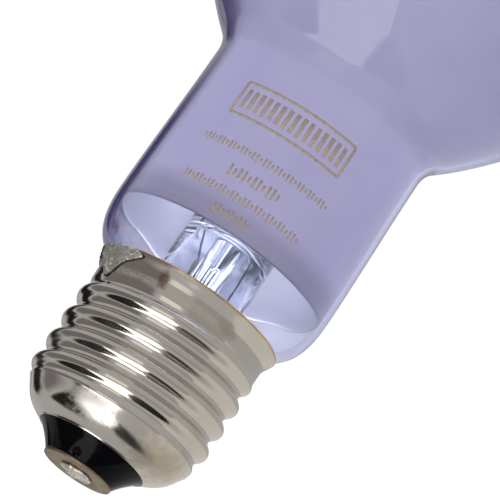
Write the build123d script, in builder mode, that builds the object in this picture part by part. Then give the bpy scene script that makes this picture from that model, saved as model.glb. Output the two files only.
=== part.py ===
"""Reflector basking lamp that stands face down, with its cap up.

Millimetres, +Z up. The origin is the middle of the glass face, on the lamp's own axis.
The cap is the standard 27 mm screw cap, and the head is the 80 mm reflector size.
Names that end in depth are measured along the axis from the flat of the centre contact.
"""
from build123d import *
from math import asin, atan, ceil, cos, hypot, pi, radians, sin, sqrt, tan
import os

# Whole lamp and its head
overall_length = 115.0
head_diameter = 80.0
head_corner_radius = 12.0
face_radius = 54.6  # of the shallow dome round the face's flat middle
face_flat_diameter = 18.0  # the flat middle, which the lamp stands on
bowl_exit_angle = 26.3  # between the bowl's wall and the axis, where the corner begins
glass_wall = 0.8

# Neck of the envelope
neck_swell_diameter = 32.9
neck_swell_depth = 36.0
neck_shoulder_diameter = 30.0
neck_shoulder_depth = 28.9
neck_waist_diameter = 32.2
flare_radius = 5.5
seal_diameter = 22.0
seal_depth = 21.5
seal_length = 1.6  # straight stretch of the neck inside the cap
neck_rim_gap = 0.45  # room at the shell's rim, where a lead comes out

# Mirror film on the inside of the head
mirror_thickness = 0.06
mirror_clearance = 0.04  # between the glass and the film
mirror_edge_depth = 33.8
clear_face_diameter = 66.0

# Screw shell
cap_length = 26.7
shell_wall = 0.3
thread_diameter = 26.2
thread_depth = 1.0
thread_pitch = 3.629
thread_round = 1.025  # of the crests and of the roots
thread_crest_depth = 9.35  # of the first full crest on the +X side
fade_length = 1.7  # along which the thread runs out at either end
root_flat = 0.3  # narrow straight stretch at the bottom of the thread
ridge_root = 0.2  # depth to which the ridge runs into the core
collar_diameter = 25.4
collar_start_depth = 22.9
collar_end_depth = 24.5
rim_diameter = 27.2
rim_angle = 20.0
shoulder_depth = 7.6
shoulder_diameter = 24.6
knee_depth = 5.2
knee_diameter = 21.3
knee_round = 1.7
lip_depth = 3.5
lip_diameter = 16.2

# Insulator, centre contact and the two solder joints
contact_diameter = 10.2
contact_thickness = 0.4
contact_hole_diameter = 2.4
insulator_height = 7.0
insulator_dish_diameter = 20.0
insulator_floor = 3.4
cone_bow = 0.12  # how far the insulator's cone is hollowed
pip_radius = 0.45
pip_depth = 1.3
pip_azimuth = -70.0
solder_diameter = 4.2
solder_height = 0.6
side_solder_azimuth = -27.0
side_solder_width = 12.0
side_solder_end_width = 2.6  # of the tongue that runs down the collar
side_solder_length = 4.4
side_solder_shoulder = 1.1  # length of the full-width stretch above the rim
side_solder_thickness = 0.7
side_solder_edge = 0.25  # thickness at the tongue's end

# Basing cement
cement_start_depth = 23.2
cement_end_depth = 26.0

# Glass stem
stem_diameter = 12.8
stem_wall = 1.0
stem_flare_height = 6.0
stem_foot = 0.9  # thickness of the flare's edge on the neck
stem_flare_angle = 31.0  # between the flare's edge and the level
stem_top_depth = 38.0
press_taper = 4.0
press_width = 11.6
press_thickness = 4.4
press_length = 8.0
press_azimuth = -20.0
exhaust_diameter = 4.2
exhaust_wall = 0.7
exhaust_tip_depth = 12.5
exhaust_tip_length = 3.0
arbor_diameter = 2.6
button_diameter = 4.8
button_height = 2.4
button_above_filament = 5.0

# Wires
lead_spacing = 8.4
inner_lead_diameter = 0.7
outer_lead_diameter = 0.3
lead_bend_radius = 1.5
lead_splice_depth = 44.0
knot_depth = 31.2
knot_diameter = 0.6
knot_length = 1.6
shell_lead_offset = (2.4, -2.6)  # where the shell's lead runs in the stem, beside the exhaust tube
shell_lead_shift = 6.0  # height over which it moves there
filament_diameter = 1.2
filament_ring_diameter = 15.0
filament_gap_angle = 100.0
clamp_diameter = 1.8
support_diameter = 0.4
support_count = 3
support_eye_clearance = 0.05

# Radii, heights and curves worked out from the sizes above
head_r = head_diameter / 2
swell_r = neck_swell_diameter / 2
waist_r = neck_waist_diameter / 2
seal_r = seal_diameter / 2
crest_r = thread_diameter / 2
root_r = crest_r - thread_depth
collar_r = collar_diameter / 2
rim_r = rim_diameter / 2
stem_r = stem_diameter / 2
exhaust_r = exhaust_diameter / 2
outer_lead_r = outer_lead_diameter / 2
filament_ring_r = filament_ring_diameter / 2
rim_z = overall_length - cap_length
seal_z = overall_length - seal_depth
lip_z = overall_length - lip_depth
contact_z = overall_length - contact_thickness
stem_top_z = overall_length - stem_top_depth
press_end_z = stem_top_z - press_taper - press_length
splice_z = overall_length - lead_splice_depth
tip_z = overall_length - exhaust_tip_depth
collar_z = overall_length - collar_end_depth
collar_start_z = overall_length - collar_start_depth
shoulder_z = overall_length - shoulder_depth

exit_slope = radians(bowl_exit_angle)
corner_r = head_r - head_corner_radius
face_flat_r = face_flat_diameter / 2
corner_z = face_radius - sqrt((face_radius - head_corner_radius) ** 2 - (corner_r - face_flat_r) ** 2)
bowl_end = (corner_r + head_corner_radius * cos(exit_slope), corner_z + head_corner_radius * sin(exit_slope))
focal_length = bowl_end[0] * tan(exit_slope) / 2
vertex_z = bowl_end[1] + bowl_end[0] ** 2 / (4 * focal_length)
filament_z = vertex_z - focal_length
face_reach = face_radius / (face_radius - head_corner_radius)
face_edge = (
    face_flat_r + (corner_r - face_flat_r) * face_reach,
    face_radius - (face_radius - corner_z) * face_reach,
)

os.makedirs("parts", exist_ok=True)


def flare_slope():
    """Angle from the axis at which the flare's round runs into the bowl's parabola."""
    low, high = 0.0, pi / 2
    for _ in range(50):
        middle = (low + high) / 2
        if waist_r + flare_radius * (1 - cos(middle)) < 2 * focal_length / tan(middle):
            low = middle
        else:
            high = middle
    return low


def bowl_point(radius):
    """Point of the reflector's parabola at a radius."""
    return (radius, vertex_z - radius**2 / (4 * focal_length))


def outline():
    """The envelope's outer line from its sealed end to the middle of the face, as its stretches in order."""
    slope = flare_slope()
    bowl_start = bowl_point(waist_r + flare_radius * (1 - cos(slope)))
    bowl_middle = bowl_point((bowl_start[0] + bowl_end[0]) / 2)
    waist = (waist_r, bowl_start[1] + flare_radius * sin(slope))
    neck_start = (seal_r, seal_z - seal_length)
    at_rim = (rim_r - shell_wall - neck_rim_gap, rim_z)
    shoulder = (neck_shoulder_diameter / 2, overall_length - neck_shoulder_depth)
    swell = (swell_r, overall_length - neck_swell_depth)
    down = (0, -1)
    flare_end = (sin(slope), -cos(slope))
    bowl_edge = (sin(exit_slope), -cos(exit_slope))
    return [
        Line((seal_r, seal_z), neck_start),
        Spline(neck_start, at_rim, shoulder, swell, tangents=[down, down]),
        Spline(swell, waist, tangents=[down, down]),
        TangentArc(waist, bowl_start, tangent=down),
        Spline(bowl_start, bowl_middle, bowl_end, tangents=[flare_end, bowl_edge]),
        TangentArc(bowl_end, face_edge, tangent=bowl_edge),
        RadiusArc(face_edge, (face_flat_r, 0), face_radius),
        Line((face_flat_r, 0), (0, 0)),
    ]


def inside_line(depth):
    """Line that runs inside the envelope's outer line at a depth, stretch by stretch."""
    for stretch in outline_stretches:
        steps = 2 if stretch.geom_type == GeomType.CIRCLE else 8
        points = []
        for step in range(steps + 1):
            heading = stretch % (step / steps)
            points.append(stretch @ (step / steps) + Vector(heading.Y, -heading.X) * depth)
        if stretch.geom_type == GeomType.CIRCLE:
            ThreePointArc(*points)
        elif stretch.geom_type == GeomType.LINE:
            Line(points[0], points[-1])
        else:
            Spline(*points, tangents=[stretch % 0, stretch % 1])


def layer(near, far):
    """Half section of what lies between two depths inside the envelope's outer line."""
    with BuildSketch() as section:
        for depth, mode in ((near, Mode.ADD), (far, Mode.SUBTRACT)):
            with BuildLine():
                inside_line(depth)
                Polyline((0, depth), (0, seal_z), (seal_r - depth, seal_z))
            make_face(mode=mode)
    return section.sketch


outline_stretches = outline()

# Envelope, and the same form filled, which cuts what seats against it
with BuildPart() as envelope:
    with BuildSketch(Plane.XZ):
        add(layer(0, glass_wall))
    revolve(axis=Axis.Z)

with BuildPart() as envelope_form:
    with BuildSketch(Plane.XZ):
        with BuildLine():
            inside_line(0)
            Polyline((0, 0), (0, seal_z), (seal_r, seal_z))
        make_face()
    revolve(axis=Axis.Z)

# Mirror film, from its edge in the neck to the rim of the clear face
with BuildPart() as mirror_coating:
    with BuildSketch(Plane.XZ):
        add(layer(glass_wall + mirror_clearance, glass_wall + mirror_clearance + mirror_thickness))
        with Locations((0, overall_length - mirror_edge_depth)):
            Rectangle(head_diameter, overall_length, align=(Align.MIN, Align.MIN), mode=Mode.SUBTRACT)
        Rectangle(clear_face_diameter, 2 * corner_z, mode=Mode.SUBTRACT)
    revolve(axis=Axis.Z)


def ring(height, radius, turn=0):
    """Plain round section at a height, whose seam is turned about the axis."""
    with BuildSketch(Plane.XY.offset(height).rotated((0, 0, turn))) as section:
        Circle(radius)
    return section.sketch.faces()[0]


def ridge(inset):
    """Helical ridge of the thread, drawn in by the inset, and the radius of the core that it stands on.

    Crests and roots are rounds, joined by a straight flank. A narrow flat at the bottom belongs to the core.
    """
    crest_round = thread_round - inset
    root_round = thread_round + inset
    top_r = crest_r - inset
    half = thread_pitch / 2
    spread = 2 * thread_round - thread_depth
    slope = asin(min(1.0, 2 * thread_round / hypot(half, spread))) - atan(spread / half)
    crest_centre_r = top_r - crest_round
    root_centre_r = top_r - thread_depth + root_round
    core_r = root_centre_r - sqrt(root_round**2 - (root_flat / 2) ** 2)
    flank_top = (crest_centre_r + crest_round * cos(slope), crest_round * sin(slope))
    flank_foot = (root_centre_r - root_round * cos(slope), half - root_round * sin(slope))
    crest_z = overall_length - thread_crest_depth
    turns_below = ceil((crest_z - collar_start_z) / thread_pitch) + 1
    turns_above = ceil((shoulder_z - crest_z) / thread_pitch) + 1
    start_z = crest_z - turns_below * thread_pitch
    with BuildLine() as helix:
        Helix(thread_pitch, (turns_below + turns_above) * thread_pitch, crest_r, center=(0, 0, start_z))
    with BuildPart() as thread:
        with BuildSketch(Plane(origin=(0, 0, start_z), x_dir=(1, 0, 0), z_dir=(0, -1, 0))):
            with BuildLine():
                Line(flank_top, flank_foot)
                edge = (core_r, half - root_flat / 2)
                TangentArc(flank_foot, edge, tangent=(-sin(slope), cos(slope)))
                Polyline(edge, (core_r - ridge_root, edge[1]), (core_r - ridge_root, 0))
                mirror(about=Plane.XZ)
                ThreePointArc((flank_top[0], -flank_top[1]), (top_r, 0), flank_top)
            make_face()
        sweep(path=helix.wires()[0], is_frenet=True)
        with BuildSketch(Plane.XZ):
            with BuildLine():
                outer_r = top_r + ridge_root
                Polyline(
                    (0, collar_start_z), (core_r, collar_start_z), (outer_r, collar_start_z + fade_length),
                    (outer_r, shoulder_z - fade_length), (core_r, shoulder_z), (0, shoulder_z),
                    (0, collar_start_z),
                )
            make_face()
        revolve(axis=Axis.Z, mode=Mode.INTERSECT)
    return thread.part, core_r


def shell_form(inset):
    """Filled form of the screw shell, drawn in by the inset."""
    thread, core_r = ridge(inset)
    shoulder_r = shoulder_diameter / 2 - inset
    lip_r = (lip_diameter - inset) / 2
    with BuildPart() as form:
        with BuildSketch(Plane.XZ):
            with BuildLine():
                slope = radians(rim_angle)
                flare = Spline(
                    (collar_r - inset, collar_z), (rim_r - inset, rim_z),
                    tangents=[(0, -1), (sin(slope), -cos(slope))],
                )
                Polyline(
                    flare @ 0, (collar_r - inset, collar_start_z), (core_r, collar_start_z + fade_length),
                    (core_r, shoulder_z - fade_length), (shoulder_r, shoulder_z),
                )
                cone = FilletPolyline(
                    (shoulder_r, shoulder_z),
                    (knee_diameter / 2 - inset, overall_length - knee_depth - inset / 2),
                    (lip_r, lip_z - inset),
                    radius=knee_round,
                )
                if inset:
                    Line(cone @ 1, (lip_r, lip_z))
                Polyline((lip_r, lip_z), (0, lip_z), (0, rim_z), flare @ 1)
            make_face()
        revolve(axis=Axis.Z)
        add(thread)
    return form.part


def round_bar(points, diameter, bend):
    """Wire along a bent line."""
    with BuildPart() as wire:
        with BuildLine() as path:
            if len(points) > 2:
                FilletPolyline(*points, radius=bend)
            else:
                Line(*points)
        with BuildSketch(Plane(origin=path.wires()[0] @ 0, z_dir=path.wires()[0] % 0)):
            Circle(diameter / 2)
        sweep(path=path.wires()[0])
    return wire.part


def at(radius, azimuth, height):
    """Point at a radius and an azimuth in degrees."""
    return Vector(radius * cos(radians(azimuth)), radius * sin(radians(azimuth)), height)


# Screw shell, rolled from one thin wall
shell_outside = shell_form(0)
shell_inside = shell_form(shell_wall)
with BuildPart() as screw_shell:
    add(shell_outside)
    add(shell_inside, mode=Mode.SUBTRACT)

# Insulator: glass cast into the shell's end, drawn to a hollowed cone that carries the contact
insulator_z = overall_length - insulator_height
contact_r = contact_diameter / 2
with BuildPart() as insulator:
    add(shell_inside)
    with BuildSketch():
        Circle(head_r)
    extrude(amount=insulator_z, mode=Mode.SUBTRACT)
    with BuildSketch(Plane.XZ):
        with BuildLine():
            foot = (lip_diameter / 2 - shell_wall / 2, lip_z)
            top = (contact_r, contact_z)
            middle = ((foot[0] + top[0]) / 2 - cone_bow, (foot[1] + top[1]) / 2 - cone_bow)
            ThreePointArc(foot, middle, top)
            Polyline(top, (0, contact_z), (0, lip_z), foot)
        make_face()
    revolve(axis=Axis.Z)
    with Locations(Plane(origin=at(contact_r, pip_azimuth, overall_length - pip_depth))):
        Sphere(pip_radius)
    with BuildSketch(Plane.XZ):
        with BuildLine():
            Polyline(
                (0, insulator_z), (insulator_dish_diameter / 2, insulator_z),
                (contact_hole_diameter / 2, contact_z - insulator_floor),
                (contact_hole_diameter / 2, contact_z), (0, contact_z), (0, insulator_z),
            )
        make_face()
    revolve(axis=Axis.Z, mode=Mode.SUBTRACT)

# Centre contact
with BuildPart() as centre_contact:
    with BuildSketch(Plane.XY.offset(contact_z)):
        Circle(contact_r)
        Circle(contact_hole_diameter / 2, mode=Mode.SUBTRACT)
    extrude(amount=contact_thickness)

# Glass stem: flare on the neck's end, tube, flat press, exhaust tube, arbor and button
stem_flare_z = seal_z - stem_flare_height
inner_seal_r = seal_r - glass_wall
bore_r = stem_r - stem_wall
press_z = stem_top_z - press_taper
button_z = filament_z + button_above_filament
with BuildPart() as stem:
    with BuildSketch(Plane.XZ):
        with BuildLine():
            spread = (cos(radians(stem_flare_angle)), sin(radians(stem_flare_angle)))
            outside = Spline((stem_r, stem_flare_z), (inner_seal_r, seal_z), tangents=[(0, 1), spread])
            inside = Spline(
                (bore_r, stem_flare_z), (inner_seal_r - stem_wall / 2, seal_z + stem_foot),
                tangents=[(0, 1), spread],
            )
            Polyline(outside @ 1, (seal_r, seal_z), (seal_r, seal_z + stem_foot), inside @ 1)
            Polyline(
                outside @ 0, (stem_r, stem_top_z), (0, stem_top_z), (0, stem_top_z + stem_wall),
                (bore_r, stem_top_z + stem_wall), inside @ 0,
            )
        make_face()
    revolve(axis=Axis.Z)
    tube_end = ring(stem_top_z, stem_r, press_azimuth)
    with BuildSketch(Plane.XY.offset(press_z).rotated((0, 0, press_azimuth))) as press_section:
        Ellipse(press_width / 2, press_thickness / 2)
    loft(sections=[press_section.sketch.faces()[0], tube_end])
    with BuildSketch(Plane.XY.offset(press_end_z).rotated((0, 0, press_azimuth))):
        Ellipse(press_width / 2, press_thickness / 2)
    extrude(amount=press_length)
    with BuildSketch(Plane.XY.offset(button_z)):
        Circle(arbor_diameter / 2)
    extrude(amount=press_end_z - button_z)
    with BuildSketch(Plane.XY.offset(button_z - button_height / 2)):
        Circle(button_diameter / 2)
    extrude(amount=button_height)
    with BuildSketch(Plane.XZ):
        with BuildLine():
            Polyline(
                (0, stem_top_z), (exhaust_r, stem_top_z), (exhaust_r, tip_z - exhaust_tip_length),
                (exhaust_wall, tip_z), (0, tip_z), (0, stem_top_z),
            )
        make_face()
    revolve(axis=Axis.Z)
    with BuildSketch(Plane.XZ):
        with BuildLine():
            Polyline(
                (0, stem_top_z + stem_wall), (exhaust_r - exhaust_wall, stem_top_z + stem_wall),
                (exhaust_r - exhaust_wall, tip_z - exhaust_tip_length), (0, tip_z - exhaust_wall),
                (0, stem_top_z + stem_wall),
            )
        make_face()
    revolve(axis=Axis.Z, mode=Mode.SUBTRACT)

# Filament: the coil's own outline, bent to an open ring at the bowl's focus
gap_middle = press_azimuth + 90
arc_start = gap_middle + filament_gap_angle / 2
arc_size = 360 - filament_gap_angle
with BuildPart() as filament:
    with BuildLine() as coil_line:
        CenterArc((0, 0, filament_z), filament_ring_r, arc_start, arc_size)
    with BuildSketch(Plane(origin=coil_line.wires()[0] @ 0, z_dir=coil_line.wires()[0] % 0)):
        Circle(filament_diameter / 2)
    sweep(path=coil_line.wires()[0])

# Inner leads, from the splice in the press to a clamp on either end of the filament
inner_leads = []
for side in (-1, 1):
    end = at(filament_ring_r, gap_middle + side * filament_gap_angle / 2, filament_z)
    start = at(lead_spacing / 2, gap_middle + side * 90, splice_z)
    knee = Vector(start.X, start.Y, press_end_z - lead_bend_radius)
    elbow = Vector(end.X, end.Y, button_z)
    with BuildPart() as inner_lead:
        add(round_bar([start, knee, elbow, end], inner_lead_diameter, lead_bend_radius))
        with Locations(end):
            Sphere(clamp_diameter / 2)
        add(filament.part, mode=Mode.SUBTRACT)
    inner_leads.append(inner_lead)

# Support wires, from the button to an eye round the filament
supports = []
for index in range(support_count):
    azimuth = arc_start + arc_size * (index + 1) / (support_count + 1)
    support_r = support_diameter / 2
    eye_r = filament_diameter / 2 + support_eye_clearance + support_r
    eye = at(filament_ring_r, azimuth, filament_z)
    with BuildPart() as support:
        add(round_bar(
            [
                at(button_diameter / 4, azimuth, button_z),
                at(filament_ring_r, azimuth, button_z),
                at(filament_ring_r, azimuth, filament_z + eye_r),
            ],
            support_diameter,
            lead_bend_radius,
        ))
        with Locations(Plane(origin=eye, z_dir=at(1, azimuth + 90, 0))):
            Torus(eye_r, support_r)
    supports.append(support)

# Outer leads, one out over the neck's end to the shell's rim, one through the insulator to the contact
shell_lead_x, shell_lead_y = shell_lead_offset
splice_a = at(lead_spacing / 2, gap_middle - 90, splice_z)
splice_b = at(lead_spacing / 2, gap_middle + 90, splice_z)
over_neck_r = (seal_r + root_r - shell_wall) / 2
foot_z = seal_z + stem_foot
with BuildPart() as shell_lead:
    add(round_bar(
        [
            splice_a,
            Vector(splice_a.X, splice_a.Y, stem_top_z + lead_bend_radius),
            Vector(shell_lead_x, shell_lead_y, stem_top_z + shell_lead_shift),
            Vector(shell_lead_x, shell_lead_y, seal_z),
            at(over_neck_r, side_solder_azimuth, foot_z + 2 * lead_bend_radius),
            at(over_neck_r, side_solder_azimuth, collar_z + outer_lead_diameter),
            at(rim_r - shell_wall - neck_rim_gap / 2, side_solder_azimuth, rim_z),
        ],
        outer_lead_diameter,
        lead_bend_radius / 2,
    ))
    with Locations((shell_lead_x, shell_lead_y, overall_length - knot_depth)):
        Cylinder(knot_diameter / 2, knot_length)

with BuildPart() as contact_lead:
    add(round_bar(
        [
            splice_b,
            Vector(splice_b.X, splice_b.Y, tip_z - exhaust_tip_length),
            Vector(0, 0, insulator_z - lead_bend_radius),
            Vector(0, 0, overall_length + solder_height / 2),
        ],
        outer_lead_diameter,
        lead_bend_radius,
    ))

# The wires are sealed into the glass of the stem
with BuildPart() as glass_stem:
    add(stem.part)
    for wire in inner_leads + supports + [shell_lead, contact_lead]:
        add(wire.part, mode=Mode.SUBTRACT)

# Centre solder, a low cap whose foot fills the contact's hole round the lead
with BuildPart() as centre_solder:
    with BuildSketch(Plane.XZ):
        with BuildLine():
            cap = TangentArc(
                (0, overall_length + solder_height), (solder_diameter / 2, overall_length), tangent=(1, 0),
            )
            Polyline(
                cap @ 1, (contact_hole_diameter / 2, overall_length), (contact_hole_diameter / 2, contact_z),
                (0, contact_z), cap @ 0,
            )
        make_face()
    revolve(axis=Axis.Z)
    add(contact_lead.part, mode=Mode.SUBTRACT)

# Side solder, a lump over the shell's rim that tapers down the collar
solder_plane = Plane(
    origin=at(0, 0, rim_z), x_dir=at(1, side_solder_azimuth + 90, 0), z_dir=at(1, side_solder_azimuth, 0),
)
solder_lap = side_solder_thickness / 2
with BuildPart() as side_solder:
    with BuildSketch(Plane.XZ):
        with BuildLine():
            Polyline(
                (collar_r - shell_wall, collar_z),
                (collar_r + side_solder_edge, rim_z + side_solder_length),
                (collar_r + side_solder_thickness, collar_z),
                (rim_r + side_solder_thickness, rim_z + side_solder_shoulder),
                (rim_r + side_solder_thickness / 2, rim_z - solder_lap),
                (rim_r - shell_wall - neck_rim_gap, rim_z - solder_lap),
                (collar_r - shell_wall, collar_z),
            )
        make_face()
    revolve(axis=Axis.Z)
    with BuildSketch(solder_plane):
        with BuildLine():
            FilletPolyline(
                (-side_solder_width / 2, -2 * solder_lap),
                (side_solder_width / 2, -2 * solder_lap),
                (side_solder_width / 2, side_solder_shoulder),
                (side_solder_end_width / 2, side_solder_length),
                (-side_solder_end_width / 2, side_solder_length),
                (-side_solder_width / 2, side_solder_shoulder),
                radius=side_solder_thickness,
                close=True,
            )
        make_face()
    extrude(amount=head_r, mode=Mode.INTERSECT)
    add(shell_outside, mode=Mode.SUBTRACT)
    add(envelope_form.part, mode=Mode.SUBTRACT)
    add(shell_lead.part, mode=Mode.SUBTRACT)

# Basing cement between the neck and the shell's collar, round the lead that passes it
with BuildPart() as basing_cement:
    with BuildSketch(Plane.XY.offset(overall_length - cement_end_depth)):
        Circle(rim_r)
    extrude(amount=cement_end_depth - cement_start_depth)
    add(shell_inside, mode=Mode.INTERSECT)
    add(envelope_form.part, mode=Mode.SUBTRACT)
    add(shell_lead.part, mode=Mode.SUBTRACT)

pieces = {
    "envelope": envelope,
    "mirror_coating": mirror_coating,
    "glass_stem": glass_stem,
    "filament": filament,
    "inner_lead_1": inner_leads[0],
    "inner_lead_2": inner_leads[1],
    "shell_lead": shell_lead,
    "contact_lead": contact_lead,
    "basing_cement": basing_cement,
    "screw_shell": screw_shell,
    "insulator": insulator,
    "centre_contact": centre_contact,
    "centre_solder": centre_solder,
    "side_solder": side_solder,
}
for index, support in enumerate(supports, 1):
    pieces[f"support_wire_{index}"] = support

for name, piece in pieces.items():
    piece.part.label = name
    export_step(piece.part, f"parts/{name}.step")
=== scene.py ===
"""Looks of a reflector basking lamp: mirrored violet glass, a screw cap and all that the lamp holds.

Metres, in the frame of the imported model. The lamp stands on its face, +Z is its axis and its cap is up.
Azimuths are in degrees, from +X towards +Y. The camera looks along +Y, so azimuth -90 is the near side.
"""

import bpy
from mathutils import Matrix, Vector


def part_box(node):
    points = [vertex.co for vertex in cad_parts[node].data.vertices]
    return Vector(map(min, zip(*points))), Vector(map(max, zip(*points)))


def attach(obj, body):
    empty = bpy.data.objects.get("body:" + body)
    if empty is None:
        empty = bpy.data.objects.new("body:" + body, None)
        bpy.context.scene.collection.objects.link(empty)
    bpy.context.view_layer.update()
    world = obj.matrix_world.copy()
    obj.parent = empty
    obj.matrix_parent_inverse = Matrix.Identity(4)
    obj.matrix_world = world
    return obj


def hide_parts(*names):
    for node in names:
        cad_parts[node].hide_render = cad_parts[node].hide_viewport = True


bl_info = {
    "name": "Reflector Basking Lamp",
    "version": (1, 0, 0),
    "blender": (4, 5, 0),
    "location": "3D View > Sidebar > Basking Lamp",
    "description": "Builds a reflector lamp's glass, mirror, stem, wires, screw cap and solder",
    "category": "Object",
}

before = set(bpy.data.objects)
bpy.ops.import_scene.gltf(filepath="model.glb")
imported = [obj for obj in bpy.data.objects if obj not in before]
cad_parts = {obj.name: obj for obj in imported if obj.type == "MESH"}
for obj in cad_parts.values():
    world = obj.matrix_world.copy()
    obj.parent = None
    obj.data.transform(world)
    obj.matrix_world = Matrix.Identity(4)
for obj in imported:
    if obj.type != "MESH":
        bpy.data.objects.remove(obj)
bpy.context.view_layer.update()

import math

import bpy
import numpy as np
from bpy.props import FloatProperty, FloatVectorProperty, IntProperty, PointerProperty
from mathutils import Matrix, Vector, noise

MM = 0.001
LAMP_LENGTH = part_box("centre_contact")[1].z
HEAD_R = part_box("envelope")[1].x

# Envelope
CORNER_ROUND = 12.0 * MM
FACE_RADIUS = 54.6 * MM
FACE_FLAT_R = 9.0 * MM
BOWL_EXIT = math.radians(26.3)
GLASS_WALL = 0.8 * MM
SWELL = (16.45 * MM, LAMP_LENGTH - 36.0 * MM)
SHOULDER = (15.0 * MM, LAMP_LENGTH - 28.9 * MM)
WAIST_R = 16.1 * MM
FLARE_RADIUS = 5.5 * MM
SEAL_R = 11.0 * MM
SEAL_Z = LAMP_LENGTH - 21.5 * MM
SEAL_LENGTH = 1.6 * MM

# Mirror film
FILM_GAP = 0.04 * MM
FILM_WALL = 0.06 * MM
FILM_EDGE_Z = LAMP_LENGTH - 33.8 * MM
FILM_EDGE_POINTS = 60
CLEAR_FACE_R = 33.0 * MM

# Screw shell
SHELL_WALL = 0.3 * MM
RIM_Z = LAMP_LENGTH - 26.7 * MM
RIM_R = 13.6 * MM
RIM_SLOPE = math.radians(20.0)
NECK_RIM_GAP = 0.45 * MM
COLLAR_R = 12.7 * MM
COLLAR_Z = LAMP_LENGTH - 24.5 * MM
COLLAR_START_Z = LAMP_LENGTH - 22.9 * MM
CREST_R = 13.1 * MM
THREAD_DEPTH = 1.0 * MM
THREAD_PITCH = 3.629 * MM
THREAD_ROUND = 1.025 * MM
THREAD_CREST_Z = LAMP_LENGTH - 9.35 * MM
FADE_LENGTH = 1.7 * MM
END_R = 12.3 * MM
END_Z = LAMP_LENGTH - 7.6 * MM
KNEE = (10.65 * MM, LAMP_LENGTH - 5.2 * MM)
LIP = (8.1 * MM, LAMP_LENGTH - 3.5 * MM)
CUT_EDGE = 0.25 * MM

# Insulator, contact and solder
CONTACT_R = 5.1 * MM
CONTACT_WALL = 0.4 * MM
CONTACT_HOLE_R = 1.2 * MM
CONTACT_Z = LAMP_LENGTH - CONTACT_WALL
INSULATOR_Z = LAMP_LENGTH - 7.0 * MM
DISH_R = 10.0 * MM
INSULATOR_FLOOR = 3.4 * MM
CONE_BOW = 0.12 * MM
PIP_AZIMUTH = math.radians(-76.0)
PIP_R = 0.62 * MM
PIP_DEPTH = 0.65 * MM
PIP_HEIGHT = 0.45 * MM
DISC_EDGE = 0.12 * MM
SOLDER_R = 2.1 * MM
SOLDER_HEIGHT = 0.6 * MM

# Stem, wires and filament
STEM_R = 6.4 * MM
STEM_WALL = 1.0 * MM
STEM_FLARE_Z = SEAL_Z - 6.0 * MM
STEM_FLARE_ANGLE = math.radians(31.0)
STEM_FOOT = 0.9 * MM
STEM_TOP_Z = LAMP_LENGTH - 38.0 * MM
PRESS_AZIMUTH = -20.0
PRESS_HALF_WIDTH = 5.8 * MM
PRESS_HALF_DEPTH = 2.2 * MM
PRESS_TAPER = (0.8, 0.9)
PRESS_Z = STEM_TOP_Z - 4.0 * MM
PRESS_END_Z = PRESS_Z - 8.0 * MM
EXHAUST_R = 2.1 * MM
EXHAUST_WALL = 0.7 * MM
EXHAUST_TIP_Z = LAMP_LENGTH - 12.5 * MM
EXHAUST_TIP = 3.0 * MM
ARBOR_R = 1.3 * MM
BUTTON_R = 2.4 * MM
BUTTON_HEIGHT = 2.4 * MM
BUTTON_FULLNESS = 0.7
LEAD_SPACING = 8.4 * MM
SPLICE_Z = LAMP_LENGTH - 44.0 * MM
INNER_LEAD_R = 0.35 * MM
OUTER_LEAD_R = 0.15 * MM
BEND = 1.5 * MM
KNOT_Z = LAMP_LENGTH - 31.2 * MM
KNOT_LENGTH = 1.6 * MM
KNOT_SWELL = 1.3
SHELL_LEAD_AT = (2.4 * MM, -2.6 * MM)
SHELL_LEAD_AZIMUTH = -27.0
COIL_RING_R = 7.5 * MM
COIL_R = 0.6 * MM
COIL_STEPS = 14
CLAMP_HALF = COIL_R * 1.5
CLAMP_R = COIL_R * 1.45
GAP_ANGLE = 100.0
BUTTON_RISE = 5.0 * MM
SUPPORT_R = 0.2 * MM
SUPPORT_COUNT = 3
EYE_STEPS = 28
EYE_CLEARANCE = 0.05 * MM
CEMENT = (LAMP_LENGTH - 26.0 * MM, LAMP_LENGTH - 23.2 * MM)
LEAD_GROOVE = 0.5 * MM

# Side solder, in degrees round the rim and millimetres above it
SIDE_SOLDER_EDGE = (
    (-52, 0.6), (-44, 1.4), (-37, 2.1), (-32, 3.9), (-27, 4.4), (-21, 3.3), (-12, 3.0), (-2, 2.0),
    (-3, 0.6), (-10, 0.0), (-22, -0.15), (-36, -0.1), (-46, 0.05),
)
SIDE_SOLDER_MIDDLE = (-20.0, 1.3)
SIDE_SOLDER_LUMP = 0.5 * MM
BURNT_EDGE = 0.16 * MM
BURNT_END_AZIMUTH = -12.0

# Stains on glass and metal, and painted shade on the stem, each with its radius, azimuth and height
NECK_STAIN = (SHOULDER[0], -22.0, 86.4 * MM)
# Painted shade on the stem's shoulder, where the tube closes towards its press
STEM_SHOULDER_SHADE = (STEM_R, -142.0, 79.8 * MM)
COLLAR_STAIN = (COLLAR_R, -69.0, 90.0 * MM)
COLLAR_SMUDGE = (COLLAR_R, -117.0, 91.0 * MM)
RIM_BURN = (RIM_R, -3.0, 90.2 * MM)
GRAINY_PATCH = (KNEE[0], -72.0, 109.2 * MM)
OLIVE_PATCH = (KNEE[0], -140.0, 109.4 * MM)
FLUX_STAIN = (RIM_R, 2.0, 89.5 * MM)

# Print on the neck, with azimuths in degrees
PRINT_AZIMUTH = -83.0
PRINT_HALF_WIDTH = 30.5
PRINT_Z = 64.3 * MM
PRINT_LINE = 0.42 * MM
PRINT_SIDE_HALF = 0.8
PRINT_BARS = 15
PRINT_BAR_HALF = 1.1
PRINT_LIFT = 0.02 * MM
PRINT_INK = 0.015 * MM
PRINT_ROWS = (
    (70.9 * MM, 35.0, 34, 1.15 * MM), (74.0 * MM, 14.0, 11, 1.7 * MM),
    (76.9 * MM, 32.0, 30, 1.25 * MM), (79.5 * MM, 10.0, 9, 1.45 * MM),
)
PRINT_ROW_FILL = 0.27
PRINT_SHORT_BAR = 0.55

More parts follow.
